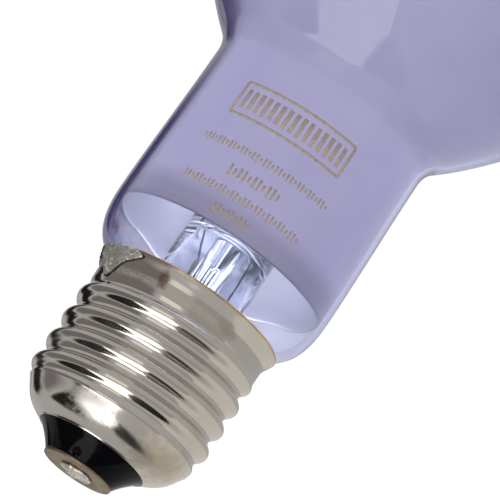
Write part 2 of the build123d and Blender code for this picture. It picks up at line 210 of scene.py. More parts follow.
# Faces round the pieces that need their own number
SHELL_SIDES = 288
INSULATOR_SIDES = 256
CEMENT_SIDES = 128
STEM_SIDES = 96
SOLDER_SIDES = 96

# Stage, with azimuths and elevations in degrees round the cap, and distances in metres
HIGH_LIGHT = {"azimuth": -54.0, "elevation": 67.0, "distance": 0.6, "size": (0.5, 0.42), "strength": 1.9}
BACK_LIGHT = {"azimuth": 150.0, "elevation": 35.0, "distance": 1.2, "size": (0.6, 0.6), "strength": 1.0}
PINK, WARM = (1.0, 0.94, 0.96), (1.0, 0.97, 0.91)
VIOLET, PALE_VIOLET = (0.72, 0.58, 1.0), (0.98, 0.96, 1.0)
GLOSS_SCREENS = (
    ("dark_side", (38, 58), (-35, 28), 0.13, 0.012, WARM),
    ("dark_high", (-28, 48), (38, 76), 0.30, 0.018, WARM),
    ("dark_back", (148, 262), (54, 84), 0.30, 0.015, WARM),
    ("mauve_front", (-50, 38), (-62, 36), 0.36, 0.20, PINK),
    ("grey_near", (-150, -90), (-50, 22), 0.37, 0.40, WARM),
    ("pale_front", (-86, -56), (-9, 28), 0.15, 0.95, WARM),
    ("pale_right", (92, 218), (-12, 46), 0.40, 0.67, WARM),
)
GLASS_SCREENS = (
    ("dark_behind", (32, 90), (-66, 36), 0.17, 0.20, VIOLET),
    ("dim_right", (82, 225), (-28, 42), 0.21, 0.84, PALE_VIOLET),
)
SCREEN_GRID = (16, 12)
GLASS_SCREEN_FADE = 4.0
STAGE_Z = 0.87 * LAMP_LENGTH
FLOOR_REACH = 12.0
FLOOR_THROUGH_GLASS = 0.6
UNDER_LAMP_R = 1.3 * HEAD_R
UNDER_LAMP_BOOST = 3.2
ROOM_LIGHT = 0.5
ROOM_SEEN = 0.5

# Camera of the photograph
CAMERA_ELEVATION = math.radians(16.0)
CAMERA_ROLL = math.radians(145.8)
CAMERA_DISTANCE = 560.0 * MM
CAMERA_FIELD = 66.1 * MM
CAMERA_TARGET = (-2.45 * MM, 0.0, 77.08 * MM)

# Curves of the envelope that follow from its sizes
CORNER_R = HEAD_R - CORNER_ROUND
CORNER_Z = FACE_RADIUS - math.sqrt((FACE_RADIUS - CORNER_ROUND) ** 2 - (CORNER_R - FACE_FLAT_R) ** 2)
FACE_ANGLE = math.atan2(CORNER_Z - FACE_RADIUS, CORNER_R - FACE_FLAT_R)
BOWL_END = (CORNER_R + CORNER_ROUND * math.cos(BOWL_EXIT), CORNER_Z + CORNER_ROUND * math.sin(BOWL_EXIT))
FOCAL_LENGTH = BOWL_END[0] * math.tan(BOWL_EXIT) / 2
VERTEX_Z = BOWL_END[1] + BOWL_END[0] ** 2 / (4 * FOCAL_LENGTH)
COIL_Z = VERTEX_Z - FOCAL_LENGTH
BUTTON_Z = COIL_Z + BUTTON_RISE
GAP_AZIMUTH = PRESS_AZIMUTH + 90.0


class LampSizes(bpy.types.PropertyGroup):
    """Sizes that the finish of the lamp depends on"""

    segments: IntProperty(
        name="Segments", description="Faces round the envelope, the mirror and the contact", default=192,
        min=48,
    )
    coil_turns: IntProperty(name="Coil turns", description="Turns of the tungsten coil", default=64, min=8)
    coil_wire: FloatProperty(
        name="Coil wire", description="Diameter of the coil's wire", default=0.22 * MM, unit="LENGTH",
        precision=5,
    )
    print_height: FloatProperty(
        name="Print height", description="Height of the printed band on the neck", default=4.8 * MM,
        unit="LENGTH", precision=5,
    )
    solder_roughness: FloatProperty(
        name="Solder lumps", description="How far the solder's surface rises and falls", default=0.16 * MM,
        unit="LENGTH", precision=5,
    )


class LampFinish(bpy.types.PropertyGroup):
    """Colours of the lamp's materials"""

    glass: FloatVectorProperty(
        name="Glass", description="Colour that the glass lets through", subtype="COLOR", size=3,
        default=(0.51, 0.54, 0.80), min=0, max=1,
    )
    glass_depth: FloatProperty(
        name="Glass depth", description="Thickness at which the glass has its full colour", default=2.6 * MM,
        unit="LENGTH", precision=5,
    )
    film: FloatVectorProperty(
        name="Mirror film", description="Colour of the mirror film from outside", subtype="COLOR", size=3,
        default=(0.61, 0.56, 0.71), min=0, max=1,
    )
    nickel: FloatVectorProperty(
        name="Nickel", description="Colour of the cap's plating", subtype="COLOR", size=3,
        default=(0.68, 0.64, 0.59), min=0, max=1,
    )
    brass: FloatVectorProperty(
        name="Brass", description="Colour of the contact", subtype="COLOR", size=3,
        default=(0.38, 0.29, 0.19), min=0, max=1,
    )
    print_gold: FloatVectorProperty(
        name="Print", description="Colour of the print on the neck", subtype="COLOR", size=3,
        default=(0.78, 0.62, 0.42), min=0, max=1,
    )


def sizes():
    """The sizes as the panel has them."""
    return bpy.context.scene.lamp_sizes


def finish():
    """The colours as the panel has them."""
    return bpy.context.scene.lamp_finish


# Lines


def clamped(points, start, end, steps=24):
    """Smooth line through points, with unit tangents given at its two ends."""
    points = np.array(points, float)
    chords = np.linalg.norm(np.diff(points, axis=0), axis=1)
    count = len(points)
    matrix = np.eye(count)
    slopes = np.zeros_like(points)
    slopes[0], slopes[-1] = start, end
    for i in range(1, count - 1):
        before, after = chords[i - 1], chords[i]
        matrix[i, i - 1:i + 2] = (1 / before, 2 / before + 2 / after, 1 / after)
        rise = (points[i] - points[i - 1]) / before**2 + (points[i + 1] - points[i]) / after**2
        slopes[i] = 3 * rise
    slopes = np.linalg.solve(matrix, slopes)
    line = [points[0]]
    for i in range(count - 1):
        for t in np.linspace(0, 1, steps + 1)[1:]:
            line.append(
                points[i] * (1 + 2 * t) * (1 - t) ** 2 + points[i + 1] * t * t * (3 - 2 * t)
                + chords[i] * (slopes[i] * t * (1 - t) ** 2 - slopes[i + 1] * t * t * (1 - t))
            )
    return np.array(line)


def arc(centre, radius, start, end, steps):
    """Points of a round stretch, between two angles."""
    angles = np.linspace(start, end, steps + 1)
    return np.stack([centre[0] + radius * np.cos(angles), centre[1] + radius * np.sin(angles)], 1)


def joined(*stretches):
    """One line from stretches that follow on, without their shared points."""
    return np.concatenate([stretches[0]] + [np.array(stretch)[1:] for stretch in stretches[1:]])


def flare_slope():
    """Angle from the axis at which the flare's round runs into the bowl's parabola."""
    low, high = 0.0, math.pi / 2
    for _ in range(50):
        middle = (low + high) / 2
        if WAIST_R + FLARE_RADIUS * (1 - math.cos(middle)) < 2 * FOCAL_LENGTH / math.tan(middle):
            low = middle
        else:
            high = middle
    return low


def outline(depth=0.0):
    """Radius and height along the envelope at a depth in its wall, from its sealed end to its face."""
    slope = flare_slope()
    start_r = WAIST_R + FLARE_RADIUS * (1 - math.cos(slope))
    radii = np.linspace(start_r, BOWL_END[0], 41)
    bowl = np.stack([radii, VERTEX_Z - radii**2 / (4 * FOCAL_LENGTH)], 1)
    waist_z = bowl[0][1] + FLARE_RADIUS * math.sin(slope)
    down = (0, -1)
    seal_end, at_rim = (SEAL_R, SEAL_Z - SEAL_LENGTH), (RIM_R - SHELL_WALL - NECK_RIM_GAP, RIM_Z)
    line = joined(
        [(SEAL_R, SEAL_Z), seal_end],
        clamped([seal_end, at_rim, SHOULDER, SWELL], down, down),
        clamped([SWELL, (WAIST_R, waist_z)], down, down),
        arc((WAIST_R + FLARE_RADIUS, waist_z), FLARE_RADIUS, math.pi, math.pi + slope, 14),
        bowl,
        arc((CORNER_R, CORNER_Z), CORNER_ROUND, BOWL_EXIT, FACE_ANGLE, 28),
        arc((FACE_FLAT_R, FACE_RADIUS), FACE_RADIUS, FACE_ANGLE, -math.pi / 2, 16),
        [(radius, 0.0) for radius in np.linspace(FACE_FLAT_R, 0, 6)],
    )
    heading = np.gradient(line, axis=0)
    heading /= np.linalg.norm(heading, axis=1)[:, None]
    heading[0], heading[-1] = (0, -1), (-1, 0)
    inner = line + depth * np.stack([heading[:, 1], -heading[:, 0]], 1)
    inner[-1][0] = 0.0
    return inner


def glass_radius(height):
    """Outer radius of the neck at a height."""
    line = outline()
    neck = line[line[:, 1] > VERTEX_Z / 2]
    return np.interp(height, neck[::-1, 1], neck[::-1, 0])


def thread_radius(heights, azimuths, inset):
    """Radius of the thread, whose crests and roots are rounds that a straight flank joins."""
    half = THREAD_PITCH / 2
    crest, root = THREAD_ROUND - inset, THREAD_ROUND + inset
    spread = 2 * THREAD_ROUND - THREAD_DEPTH
    slope = math.asin(min(1.0, 2 * THREAD_ROUND / math.hypot(half, spread))) - math.atan(spread / half)
    turn = azimuths / (2 * math.pi)
    along = np.abs((heights - THREAD_CREST_Z - turn * THREAD_PITCH + half) % THREAD_PITCH - half)
    crest_end, root_start = crest * math.sin(slope), half - root * math.sin(slope)
    on_crest = crest - np.sqrt(np.clip(crest**2 - along**2, 0, None))
    in_root = THREAD_DEPTH - root + np.sqrt(np.clip(root**2 - (half - along) ** 2, 0, None))
    top = crest - crest * math.cos(slope)
    drop = THREAD_DEPTH - root + root * math.cos(slope) - top
    flank = top + drop * (along - crest_end) / (root_start - crest_end)
    depth = np.where(along <= crest_end, on_crest, np.where(along >= root_start, in_root, flank))
    return CREST_R - inset - depth


def smooth(value):
    """Soft step from 0 to 1."""
    value = np.clip(value, 0, 1)
    return value * value * (3 - 2 * value)


def rim_flare(inset=0.0):
    """Radius and height of the flare between the shell's rim and its collar."""
    ends = [(RIM_R - inset, RIM_Z), (COLLAR_R - inset, COLLAR_Z)]
    return clamped(ends, (-math.sin(RIM_SLOPE), math.cos(RIM_SLOPE)), (0, 1), 12)


def cap_line(inset):
    """Radius and height of the shell above its thread, from the thread's end to the lip."""
    points = [
        (END_R - inset, END_Z), (KNEE[0] - inset, KNEE[1] - inset / 2), (LIP[0] - inset / 2, LIP[1] - inset),
    ]
    first = np.subtract(points[1], points[0])
    last = np.subtract(points[2], points[1])
    return clamped(points, first / np.linalg.norm(first), last / np.linalg.norm(last), 14)


def shell_rows(inset, azimuths):
    """Rings of the shell's skin, drawn in by the inset, from the rim to the lip."""
    rows = []
    collar = [(COLLAR_R - inset, height) for height in np.linspace(COLLAR_Z, COLLAR_START_Z, 5)[1:]]
    for radius, height in list(rim_flare(inset)) + collar:
        rows.append((np.full(len(azimuths), radius), height))
    for height in np.linspace(COLLAR_START_Z, END_Z, 110)[1:]:
        thread = thread_radius(height, azimuths, inset)
        low = smooth((height - COLLAR_START_Z) / FADE_LENGTH)
        high = smooth((END_Z - height) / FADE_LENGTH)
        radius = (1 - low) * (COLLAR_R - inset) + low * thread
        rows.append(((1 - high) * (END_R - inset) + high * radius, height))
    for radius, height in cap_line(inset)[1:]:
        rows.append((np.full(len(azimuths), radius), height))
    return rows


# Meshes


def ring(radius, height, azimuths):
    """Points round the axis, or the one point on it."""
    if np.ndim(radius) == 0 and radius < 1e-7:
        return [(0.0, 0.0, float(height))]
    x, y = radius * np.cos(azimuths), radius * np.sin(azimuths)
    return [(a, b, float(height)) for a, b in zip(x, y)]


def round_angles(count=None):
    """Azimuths of a ring's points, in radians."""
    return np.linspace(0, 2 * math.pi, count or sizes().segments, endpoint=False)


def skin(rings, loop=False):
    """Vertices and faces of a skin over rings in order, facing out when they go down the outer side."""
    vertices, faces, starts = [], [], []
    for points in rings:
        starts.append(len(vertices))
        vertices.extend(points)
    pairs = list(zip(range(len(rings) - 1), range(1, len(rings))))
    if loop:
        pairs.append((len(rings) - 1, 0))
    for above, below in pairs:
        a, b = starts[above], starts[below]
        count = max(len(rings[above]), len(rings[below]))
        if count == 1:
            continue
        for j in range(count):
            k = (j + 1) % count
            if len(rings[above]) == 1:
                faces.append((a, b + j, b + k))
            elif len(rings[below]) == 1:
                faces.append((a + j, b, a + k))
            else:
                faces.append((a + j, b + j, b + k, a + k))
    return vertices, faces


def turned(line, azimuths=None):
    """Rings of a line that is turned round the axis."""
    azimuths = round_angles() if azimuths is None else azimuths
    return [ring(radius, height, azimuths) for radius, height in line]


def at(radius, azimuth, height):
    """Point at a radius and an azimuth in degrees."""
    turn = math.radians(azimuth)
    return Vector((radius * math.cos(turn), radius * math.sin(turn), height))


def bent(points, radius, steps=6):
    """Line through points, with each corner rounded."""
    points = [Vector(point) for point in points]
    line = [points[0]]
    for before, corner, after in zip(points, points[1:], points[2:]):
        one, two = (before - corner).normalized(), (after - corner).normalized()
        sharpness = math.tan(max(one.angle(two), 0.05) / 2)
        reach = min(radius / sharpness, (before - corner).length / 2, (after - corner).length / 2)
        for t in np.linspace(0, 1, steps + 1):
            line.append(corner + one * reach * (1 - t) ** 2 + two * reach * t**2)
    line.append(points[-1])
    return line


def pipe(line, radii, sides=12):
    """Rings round a line, closed at both ends. A single radius holds for the whole line."""
    line = [Vector(point) for point in line]
    radii = [radii] * len(line) if isinstance(radii, float) else radii
    normal = (line[1] - line[0]).orthogonal().normalized()
    rings = [[tuple(line[0])]]
    for i, point in enumerate(line):
        heading = (line[min(i + 1, len(line) - 1)] - line[max(i - 1, 0)]).normalized()
        normal = (normal - heading * normal.dot(heading)).normalized()
        across = heading.cross(normal)
        angles = [-2 * math.pi * side / sides for side in range(sides)]
        spokes = [normal * math.cos(a) + across * math.sin(a) for a in angles]
        rings.append([tuple(point + spoke * radii[i]) for spoke in spokes])
    rings.append([tuple(line[-1])])
    return rings


def rough(points, reach, grain, seed):
    """Points raised and lowered by a smooth noise."""
    moved = []
    for point in points:
        place = Vector(point)
        lift = noise.fractal(place / grain + Vector((seed, seed, seed)), 1.0, 2.0, 3) * reach
        moved.append((place.x, place.y, place.z + lift))
    return moved


def added(name, data):
    """A new object in the scene."""
    obj = bpy.data.objects.new(name, data)
    bpy.context.scene.collection.objects.link(obj)
    return obj


def piece(name, islands, materials, nodes, pick=None):
    """A mesh object of one or more skins that stands for CAD nodes and rides on the lamp.

    pick gives the number of a face's material.
    """
    vertices, faces = [], []
    for island_vertices, island_faces in islands:
        offset = len(vertices)
        vertices.extend(island_vertices)
        faces.extend(tuple(index + offset for index in face) for face in island_faces)
    mesh = bpy.data.meshes.new(name)
    mesh.from_pydata(vertices, [], faces)
    for material in materials:
        mesh.materials.append(material)
    mesh.polygons.foreach_set("use_smooth", [True] * len(mesh.polygons))
    if pick:
        mesh.polygons.foreach_set("material_index", [pick(polygon) for polygon in mesh.polygons])
    mesh.update()
    obj = added(name, mesh)
    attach(obj, "root")
    if nodes:
        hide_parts(*nodes)
    return obj


# Shader groups


def new_group(name, inputs, outputs):
    """Empty shader group with named sockets, its nodes, links and two ends."""
    group = bpy.data.node_groups.new(name, "ShaderNodeTree")
    for label, kind, value in inputs:
        socket = group.interface.new_socket(name=label, in_out="INPUT", socket_type=kind)
        socket.default_value = value
    for label, kind in outputs:
        group.interface.new_socket(name=label, in_out="OUTPUT", socket_type=kind)
    start = group.nodes.new("NodeGroupInput")
    end = group.nodes.new("NodeGroupOutput")
    return group, group.nodes, group.links, start, end


def math_node(nodes, links, operation, *values, clamp=False):
    """A Math node with values or sockets as its inputs."""
    node = nodes.new("ShaderNodeMath")
    node.operation = operation
    node.use_clamp = clamp
    for socket, value in zip(node.inputs, values):
        if isinstance(value, (int, float)):
            socket.default_value = value
        else:
            links.new(value, socket)
    return node.outputs[0]


def blotch_group():
    """Soft-edged blotches all over a surface, such as smudges, stains and patina."""
    group, nodes, links, start, end = new_group(
        "blotches",
        [("Scale", "NodeSocketFloat", 200.0), ("Cover", "NodeSocketFloat", 0.5),
         ("Softness", "NodeSocketFloat", 0.1)],
        [("Mask", "NodeSocketFloat")],
    )
    place = nodes.new("ShaderNodeTexCoord")
    cloud = nodes.new("ShaderNodeTexNoise")
    cloud.inputs["Detail"].default_value = 5.0
    cloud.inputs["Roughness"].default_value = 0.6
    links.new(place.outputs["Object"], cloud.inputs["Vector"])
    links.new(start.outputs["Scale"], cloud.inputs["Scale"])
    edge = math_node(nodes, links, "SUBTRACT", 1.0, start.outputs["Cover"])
    above = math_node(nodes, links, "SUBTRACT", cloud.outputs["Fac"], edge)
    ramp = math_node(nodes, links, "DIVIDE", above, start.outputs["Softness"])
    mask = math_node(nodes, links, "ADD", ramp, 0.5, clamp=True)
    links.new(mask, end.inputs["Mask"])
    return group


def spot_group():
    """One stain, or a patch of painted shade, with a ragged edge, at a place on the surface."""
    group, nodes, links, start, end = new_group(
        "spot",
        [("Place", "NodeSocketVector", (0.0, 0.0, 0.0)), ("Reach", "NodeSocketVector", (MM, MM, MM)),
         ("Ragged", "NodeSocketFloat", 0.5), ("Grain", "NodeSocketFloat", 900.0),
         ("Softness", "NodeSocketFloat", 0.4)],
        [("Mask", "NodeSocketFloat")],
    )
    place = nodes.new("ShaderNodeTexCoord")
    offset = nodes.new("ShaderNodeVectorMath")
    offset.operation = "SUBTRACT"
    links.new(place.outputs["Object"], offset.inputs[0])
    links.new(start.outputs["Place"], offset.inputs[1])
    scaled = nodes.new("ShaderNodeVectorMath")
    scaled.operation = "DIVIDE"
    links.new(offset.outputs[0], scaled.inputs[0])
    links.new(start.outputs["Reach"], scaled.inputs[1])
    length = nodes.new("ShaderNodeVectorMath")
    length.operation = "LENGTH"
    links.new(scaled.outputs[0], length.inputs[0])
    cloud = nodes.new("ShaderNodeTexNoise")
    cloud.inputs["Detail"].default_value = 4.0
    links.new(place.outputs["Object"], cloud.inputs["Vector"])
    links.new(start.outputs["Grain"], cloud.inputs["Scale"])
    wander = math_node(nodes, links, "SUBTRACT", cloud.outputs["Fac"], 0.5)
    wander = math_node(nodes, links, "MULTIPLY", wander, start.outputs["Ragged"])
    reach = math_node(nodes, links, "ADD", length.outputs["Value"], wander)
    inside = math_node(nodes, links, "SUBTRACT", 1.0, reach)
    ramp = math_node(nodes, links, "DIVIDE", inside, start.outputs["Softness"], clamp=True)
    links.new(ramp, end.inputs["Mask"])
    return group


def grain_group():
    """Fine unevenness of a surface, as a height."""
    group, nodes, links, start, end = new_group(
        "fine_grain",
        [("Scale", "NodeSocketFloat", 2000.0), ("Stretch", "NodeSocketVector", (1.0, 1.0, 1.0)),
         ("Detail", "NodeSocketFloat", 4.0)],
        [("Height", "NodeSocketFloat")],
    )
    place = nodes.new("ShaderNodeTexCoord")
    stretch = nodes.new("ShaderNodeVectorMath")
    stretch.operation = "MULTIPLY"
    links.new(place.outputs["Object"], stretch.inputs[0])
    links.new(start.outputs["Stretch"], stretch.inputs[1])
    cloud = nodes.new("ShaderNodeTexNoise")
    links.new(stretch.outputs[0], cloud.inputs["Vector"])
    links.new(start.outputs["Scale"], cloud.inputs["Scale"])
    links.new(start.outputs["Detail"], cloud.inputs["Detail"])
    links.new(cloud.outputs["Fac"], end.inputs["Height"])
    return group


GROUPS = {"blotches": blotch_group, "spot": spot_group, "fine_grain": grain_group}


class Finish:
    """A material under construction, with its Principled shader and short ways to feed it."""

    def __init__(self, name, colour, metallic=0.0, roughness=0.5, **values):
        self.material = bpy.data.materials.new(name)
        self.material.use_nodes = True
        self.nodes = self.material.node_tree.nodes
        self.links = self.material.node_tree.links
        self.shader = self.nodes["Principled BSDF"]
        self.colour = (*colour, 1.0)
        self.roughness = roughness
        self.shader.inputs["Base Color"].default_value = self.colour
        self.shader.inputs["Metallic"].default_value = metallic
        self.shader.inputs["Roughness"].default_value = roughness
        for label, value in values.items():
            self.shader.inputs[label.replace("_", " ")].default_value = value

    def mask(self, kind, **values):
        """Output of one of the shader groups, placed with its own values."""
        node = self.nodes.new("ShaderNodeGroup")
        node.node_tree = bpy.data.node_groups.get(kind) or GROUPS[kind]()
        for label, value in values.items():
            node.inputs[label].default_value = value
        return node.outputs[0]

    def stain(self, place, reach, **values):
        """Mask of one stain, or a patch of painted shade, at a radius, azimuth and height, with its reach on
        each axis in millimetres.
        """
        return self.mask("spot", Place=tuple(at(*place)), Reach=tuple(size * MM for size in reach), **values)

    def tint(self, mask, colour, strength=1.0):
        """Lays a colour over the present one where the mask is."""
        mix = self.nodes.new("ShaderNodeMix")
        mix.data_type = "RGBA"
        self.links.new(math_node(self.nodes, self.links, "MULTIPLY", mask, strength), mix.inputs["Factor"])
        if isinstance(self.colour, tuple):
            mix.inputs["A"].default_value = self.colour
        else:
            self.links.new(self.colour, mix.inputs["A"])
        mix.inputs["B"].default_value = (*colour, 1.0)
        self.colour = mix.outputs["Result"]
        self.links.new(self.colour, self.shader.inputs["Base Color"])

    def dull(self, mask, amount):
        """Adds to the roughness where the mask is."""
        self.roughness = math_node(
            self.nodes, self.links, "MULTIPLY_ADD", mask, amount, self.roughness, clamp=True,
        )
        self.links.new(self.roughness, self.shader.inputs["Roughness"])

    def bump(self, *heights):
        """Raises the surface by heights in metres, each a socket with its depth."""
        normal = None
        for height, depth in heights:
            node = self.nodes.new("ShaderNodeBump")
            node.inputs["Distance"].default_value = depth
            self.links.new(height, node.inputs["Height"])
            if normal is not None:
                self.links.new(normal, node.inputs["Normal"])
            normal = node.outputs["Normal"]
        self.links.new(normal, self.shader.inputs["Normal"])

    def absorb(self, colour, depth):
        """Fills the solid with a tint that has the colour at a depth."""
        volume = self.nodes.new("ShaderNodeVolumeAbsorption")
        volume.inputs["Color"].default_value = (*[1 + math.log(c) for c in colour], 1.0)
        volume.inputs["Density"].default_value = 1 / depth
        self.links.new(volume.outputs[0], self.nodes["Material Output"].inputs["Volume"])


# Materials


def violet_glass():
    """Clear violet glass with faint waves from blowing and a brown stain beside the solder."""
    made = Finish("violet_glass", (1.0, 1.0, 1.0), roughness=0.0, IOR=1.5, Transmission_Weight=1.0)
    made.absorb(finish().glass, finish().glass_depth)
    brown = made.stain(NECK_STAIN, (1.3, 1.3, 1.3), Ragged=1.1, Softness=0.6)
    made.tint(brown, (0.52, 0.25, 0.22), 0.7)
    waves = made.mask("fine_grain", Scale=60.0, Stretch=(1.0, 1.0, 0.35), Detail=1.0)
    made.bump((waves, 0.045 * MM))
    return made.material


def mirror_film():
    """Soft metal film with pale clouds, greyer near its edge in the neck."""
    made = Finish("mirror_film", finish().film, metallic=1.0, roughness=0.38)
    clouds = made.mask("blotches", Scale=38.0, Cover=0.5, Softness=0.4)
    made.tint(clouds, (0.75, 0.70, 0.83), 0.75)
    edge = made.stain((0.0, 0.0, FILM_EDGE_Z), (60.0, 60.0, 5.0), Ragged=0.1, Softness=0.5)
    made.tint(edge, (0.40, 0.36, 0.44), 0.8)
    return made.material


def bright_film():
    """Inner face of the film, which has stayed bright."""
    made = Finish("bright_film", (0.96, 0.96, 0.97), metallic=1.0, roughness=0.3)
    made.tint(made.mask("blotches", Scale=60.0, Cover=0.4, Softness=0.5), (0.90, 0.90, 0.93), 0.5)
    return made.material


def clear_glass():
    """Clear soft glass of the stem, with painted shade on its shoulder."""
    made = Finish("stem_glass", (0.84, 0.87, 0.92), roughness=0.0, IOR=1.52, Transmission_Weight=1.0)
    # Painted shade: a near-black tint on the stem's shoulder, where the tube closes towards the press
    shoulder_shade = made.stain(STEM_SHOULDER_SHADE, (4.6, 5.0, 4.8), Ragged=1.6, Grain=500.0, Softness=0.8)
    made.tint(shoulder_shade, (0.05, 0.06, 0.09), 0.95)
    made.bump((made.mask("fine_grain", Scale=220.0, Detail=1.0), 0.06 * MM))
    return made.material


def nickel_plate():
    """Bright nickel plate with smudges, stains, a grainy and an olive patch, and a burn beside the solder."""
    made = Finish("nickel_plate", finish().nickel, metallic=1.0, roughness=0.1)
    smudge = made.mask("blotches", Scale=160.0, Cover=0.42, Softness=0.25)
    made.tint(smudge, (0.55, 0.50, 0.45), 0.35)
    made.dull(smudge, 0.12)
    brown = made.stain(COLLAR_STAIN, (1.0, 1.0, 2.0), Ragged=1.3, Softness=0.5)
    made.tint(brown, (0.22, 0.12, 0.08), 0.8)
    grey = made.stain(COLLAR_SMUDGE, (2.2, 3.0, 1.2), Ragged=1.0, Softness=0.7)
    made.tint(grey, (0.42, 0.36, 0.31), 0.6)
    made.dull(grey, 0.15)
    burnt = made.stain(RIM_BURN, (3.0, 3.4, 2.4), Ragged=1.3, Softness=0.5)
    made.tint(burnt, (0.05, 0.025, 0.015), 0.92)
    made.dull(burnt, 0.3)
    grainy = made.stain(GRAINY_PATCH, (4.0, 4.0, 1.9), Ragged=1.6, Grain=1400.0, Softness=0.5)
    made.dull(grainy, 0.22)
    olive = made.stain(OLIVE_PATCH, (7.0, 7.0, 3.0), Ragged=1.2, Softness=0.8)
    made.tint(olive, (0.46, 0.40, 0.30), 0.8)
    made.dull(olive, 0.1)
    fine = made.mask("fine_grain", Scale=2600.0)
    dents = made.mask("fine_grain", Scale=260.0, Stretch=(1.0, 1.0, 1.6), Detail=2.0)
    made.bump((dents, 0.02 * MM), (fine, 0.004 * MM))
    return made.material


def cut_brass():
    """Bare brass of the shell's cut edge."""
    made = Finish("cut_brass", (0.72, 0.52, 0.27), metallic=1.0, roughness=0.28)
    made.tint(made.mask("blotches", Scale=500.0, Cover=0.45, Softness=0.2), (0.36, 0.22, 0.1), 0.6)
    return made.material


def black_glass():
    """Opaque black glass with a deep gloss and a little dust."""
    made = Finish("black_glass", (0.003, 0.003, 0.004), roughness=0.1, IOR=1.5, Specular_IOR_Level=0.09)
    dust = made.mask("blotches", Scale=420.0, Cover=0.36, Softness=0.2)
    made.dull(dust, 0.22)
    made.bump((made.mask("fine_grain", Scale=180.0, Detail=2.0), 0.05 * MM))
    return made.material


def contact_brass():
    """Dulled brass with fine lines in one direction and darker stains."""
    made = Finish("contact_brass", finish().brass, metallic=1.0, roughness=0.34)
    lines = made.mask("fine_grain", Scale=900.0, Stretch=(0.12, 4.0, 1.0), Detail=5.0)
    made.tint(lines, (0.24, 0.175, 0.115), 0.7)
    stains = made.mask("blotches", Scale=420.0, Cover=0.45, Softness=0.2)
    made.tint(stains, (0.20, 0.15, 0.10), 0.45)
    made.dull(stains, 0.14)
    made.bump((lines, 0.02 * MM))
    return made.material


def tin_solder():
    """Cast tin with a frosted, pitted skin and dark flux at the lump's end."""
    made = Finish("solder", (0.88, 0.86, 0.80), metallic=1.0, roughness=0.26)
    frost = made.mask("blotches", Scale=900.0, Cover=0.5, Softness=0.15)
    made.tint(frost, (0.62, 0.58, 0.50), 0.55)
    made.dull(frost, 0.2)
    pits = made.mask("blotches", Scale=1600.0, Cover=0.34, Softness=0.08)
    made.tint(pits, (0.09, 0.075, 0.06), 0.85)
    flux = made.stain(FLUX_STAIN, (2.6, 3.2, 3.0), Ragged=1.2, Softness=0.5)
    made.tint(flux, (0.10, 0.06, 0.035), 0.9)
    made.bump((made.mask("fine_grain", Scale=1300.0), 0.12 * MM))
    return made.material


def burnt_flux():
    """Flux that the iron has burnt, black and brown."""
    made = Finish("burnt_flux", (0.012, 0.009, 0.007), roughness=0.4)
    made.tint(made.mask("blotches", Scale=700.0, Cover=0.4, Softness=0.2), (0.10, 0.045, 0.02), 0.8)
    made.bump((made.mask("fine_grain", Scale=1500.0), 0.06 * MM))
    return made.material


def wire(name, colour, roughness):
    """Drawn wire with faint lines and darker patches."""
    made = Finish(name, colour, metallic=1.0, roughness=roughness)
    made.tint(made.mask("blotches", Scale=700.0, Cover=0.4), tuple(c * 0.55 for c in colour), 0.7)
    made.bump((made.mask("fine_grain", Scale=3000.0), 0.01 * MM))
    return made.material


def cement():
    """Pale baked basing cement."""
    made = Finish("cement", (0.55, 0.45, 0.32), roughness=0.85)
    made.tint(made.mask("blotches", Scale=600.0, Cover=0.5, Softness=0.3), (0.38, 0.29, 0.19), 0.6)
    made.bump((made.mask("fine_grain", Scale=1800.0), 0.1 * MM))
    return made.material


def gold_print():
    """Gold ink, thinner where it is worn."""
    made = Finish("gold_print", finish().print_gold, roughness=0.45)
    worn = made.mask("blotches", Scale=1500.0, Cover=0.45, Softness=0.2)
    made.tint(worn, (0.60, 0.48, 0.36), 0.6)
    solid = math_node(made.nodes, made.links, "MULTIPLY_ADD", worn, -0.3, 0.66)
    made.links.new(solid, made.shader.inputs["Alpha"])
    return made.material


# Pieces


class BuildStep:
    """What the steps share: each of them can be undone."""

    bl_options = {"REGISTER", "UNDO"}


class LAMP_OT_envelope(BuildStep, bpy.types.Operator):
    """Build the violet glass envelope, from its sealed end to its domed face"""

    bl_idname = "lamp.envelope"
    bl_label = "Envelope"

    def execute(self, context):
        outside, inside = outline(), outline(GLASS_WALL)
        rings = turned(outside) + turned(inside[::-1])
        piece("envelope_glass", [skin(rings, loop=True)], [violet_glass()], ["envelope"])
        return {"FINISHED"}


class LAMP_OT_mirror(BuildStep, bpy.types.Operator):
    """Build the mirror film inside the head and the neck"""

    bl_idname = "lamp.mirror"
    bl_label = "Mirror film"

    def execute(self, context):
        layers = []
        for depth in (GLASS_WALL + FILM_GAP, GLASS_WALL + FILM_GAP + FILM_WALL):
            line = outline(depth)
            below_edge = line[:, 1] < FILM_EDGE_Z
            off_face = (line[:, 0] > CLEAR_FACE_R) | (line[:, 1] > CORNER_Z)
            neck = line[:FILM_EDGE_POINTS][::-1]
            edge_r = np.interp(FILM_EDGE_Z, neck[:, 1], neck[:, 0])
            layers.append(np.concatenate([[(edge_r, FILM_EDGE_Z)], line[below_edge & off_face]]))
        rings = turned(layers[0]) + turned(layers[1][::-1])
        outer_points = len(layers[0]) * sizes().segments
        piece(
            "mirror_skin", [skin(rings, loop=True)], [mirror_film(), bright_film()],
            ["mirror_coating"], pick=lambda face: int(min(face.vertices) >= outer_points),
        )
        return {"FINISHED"}


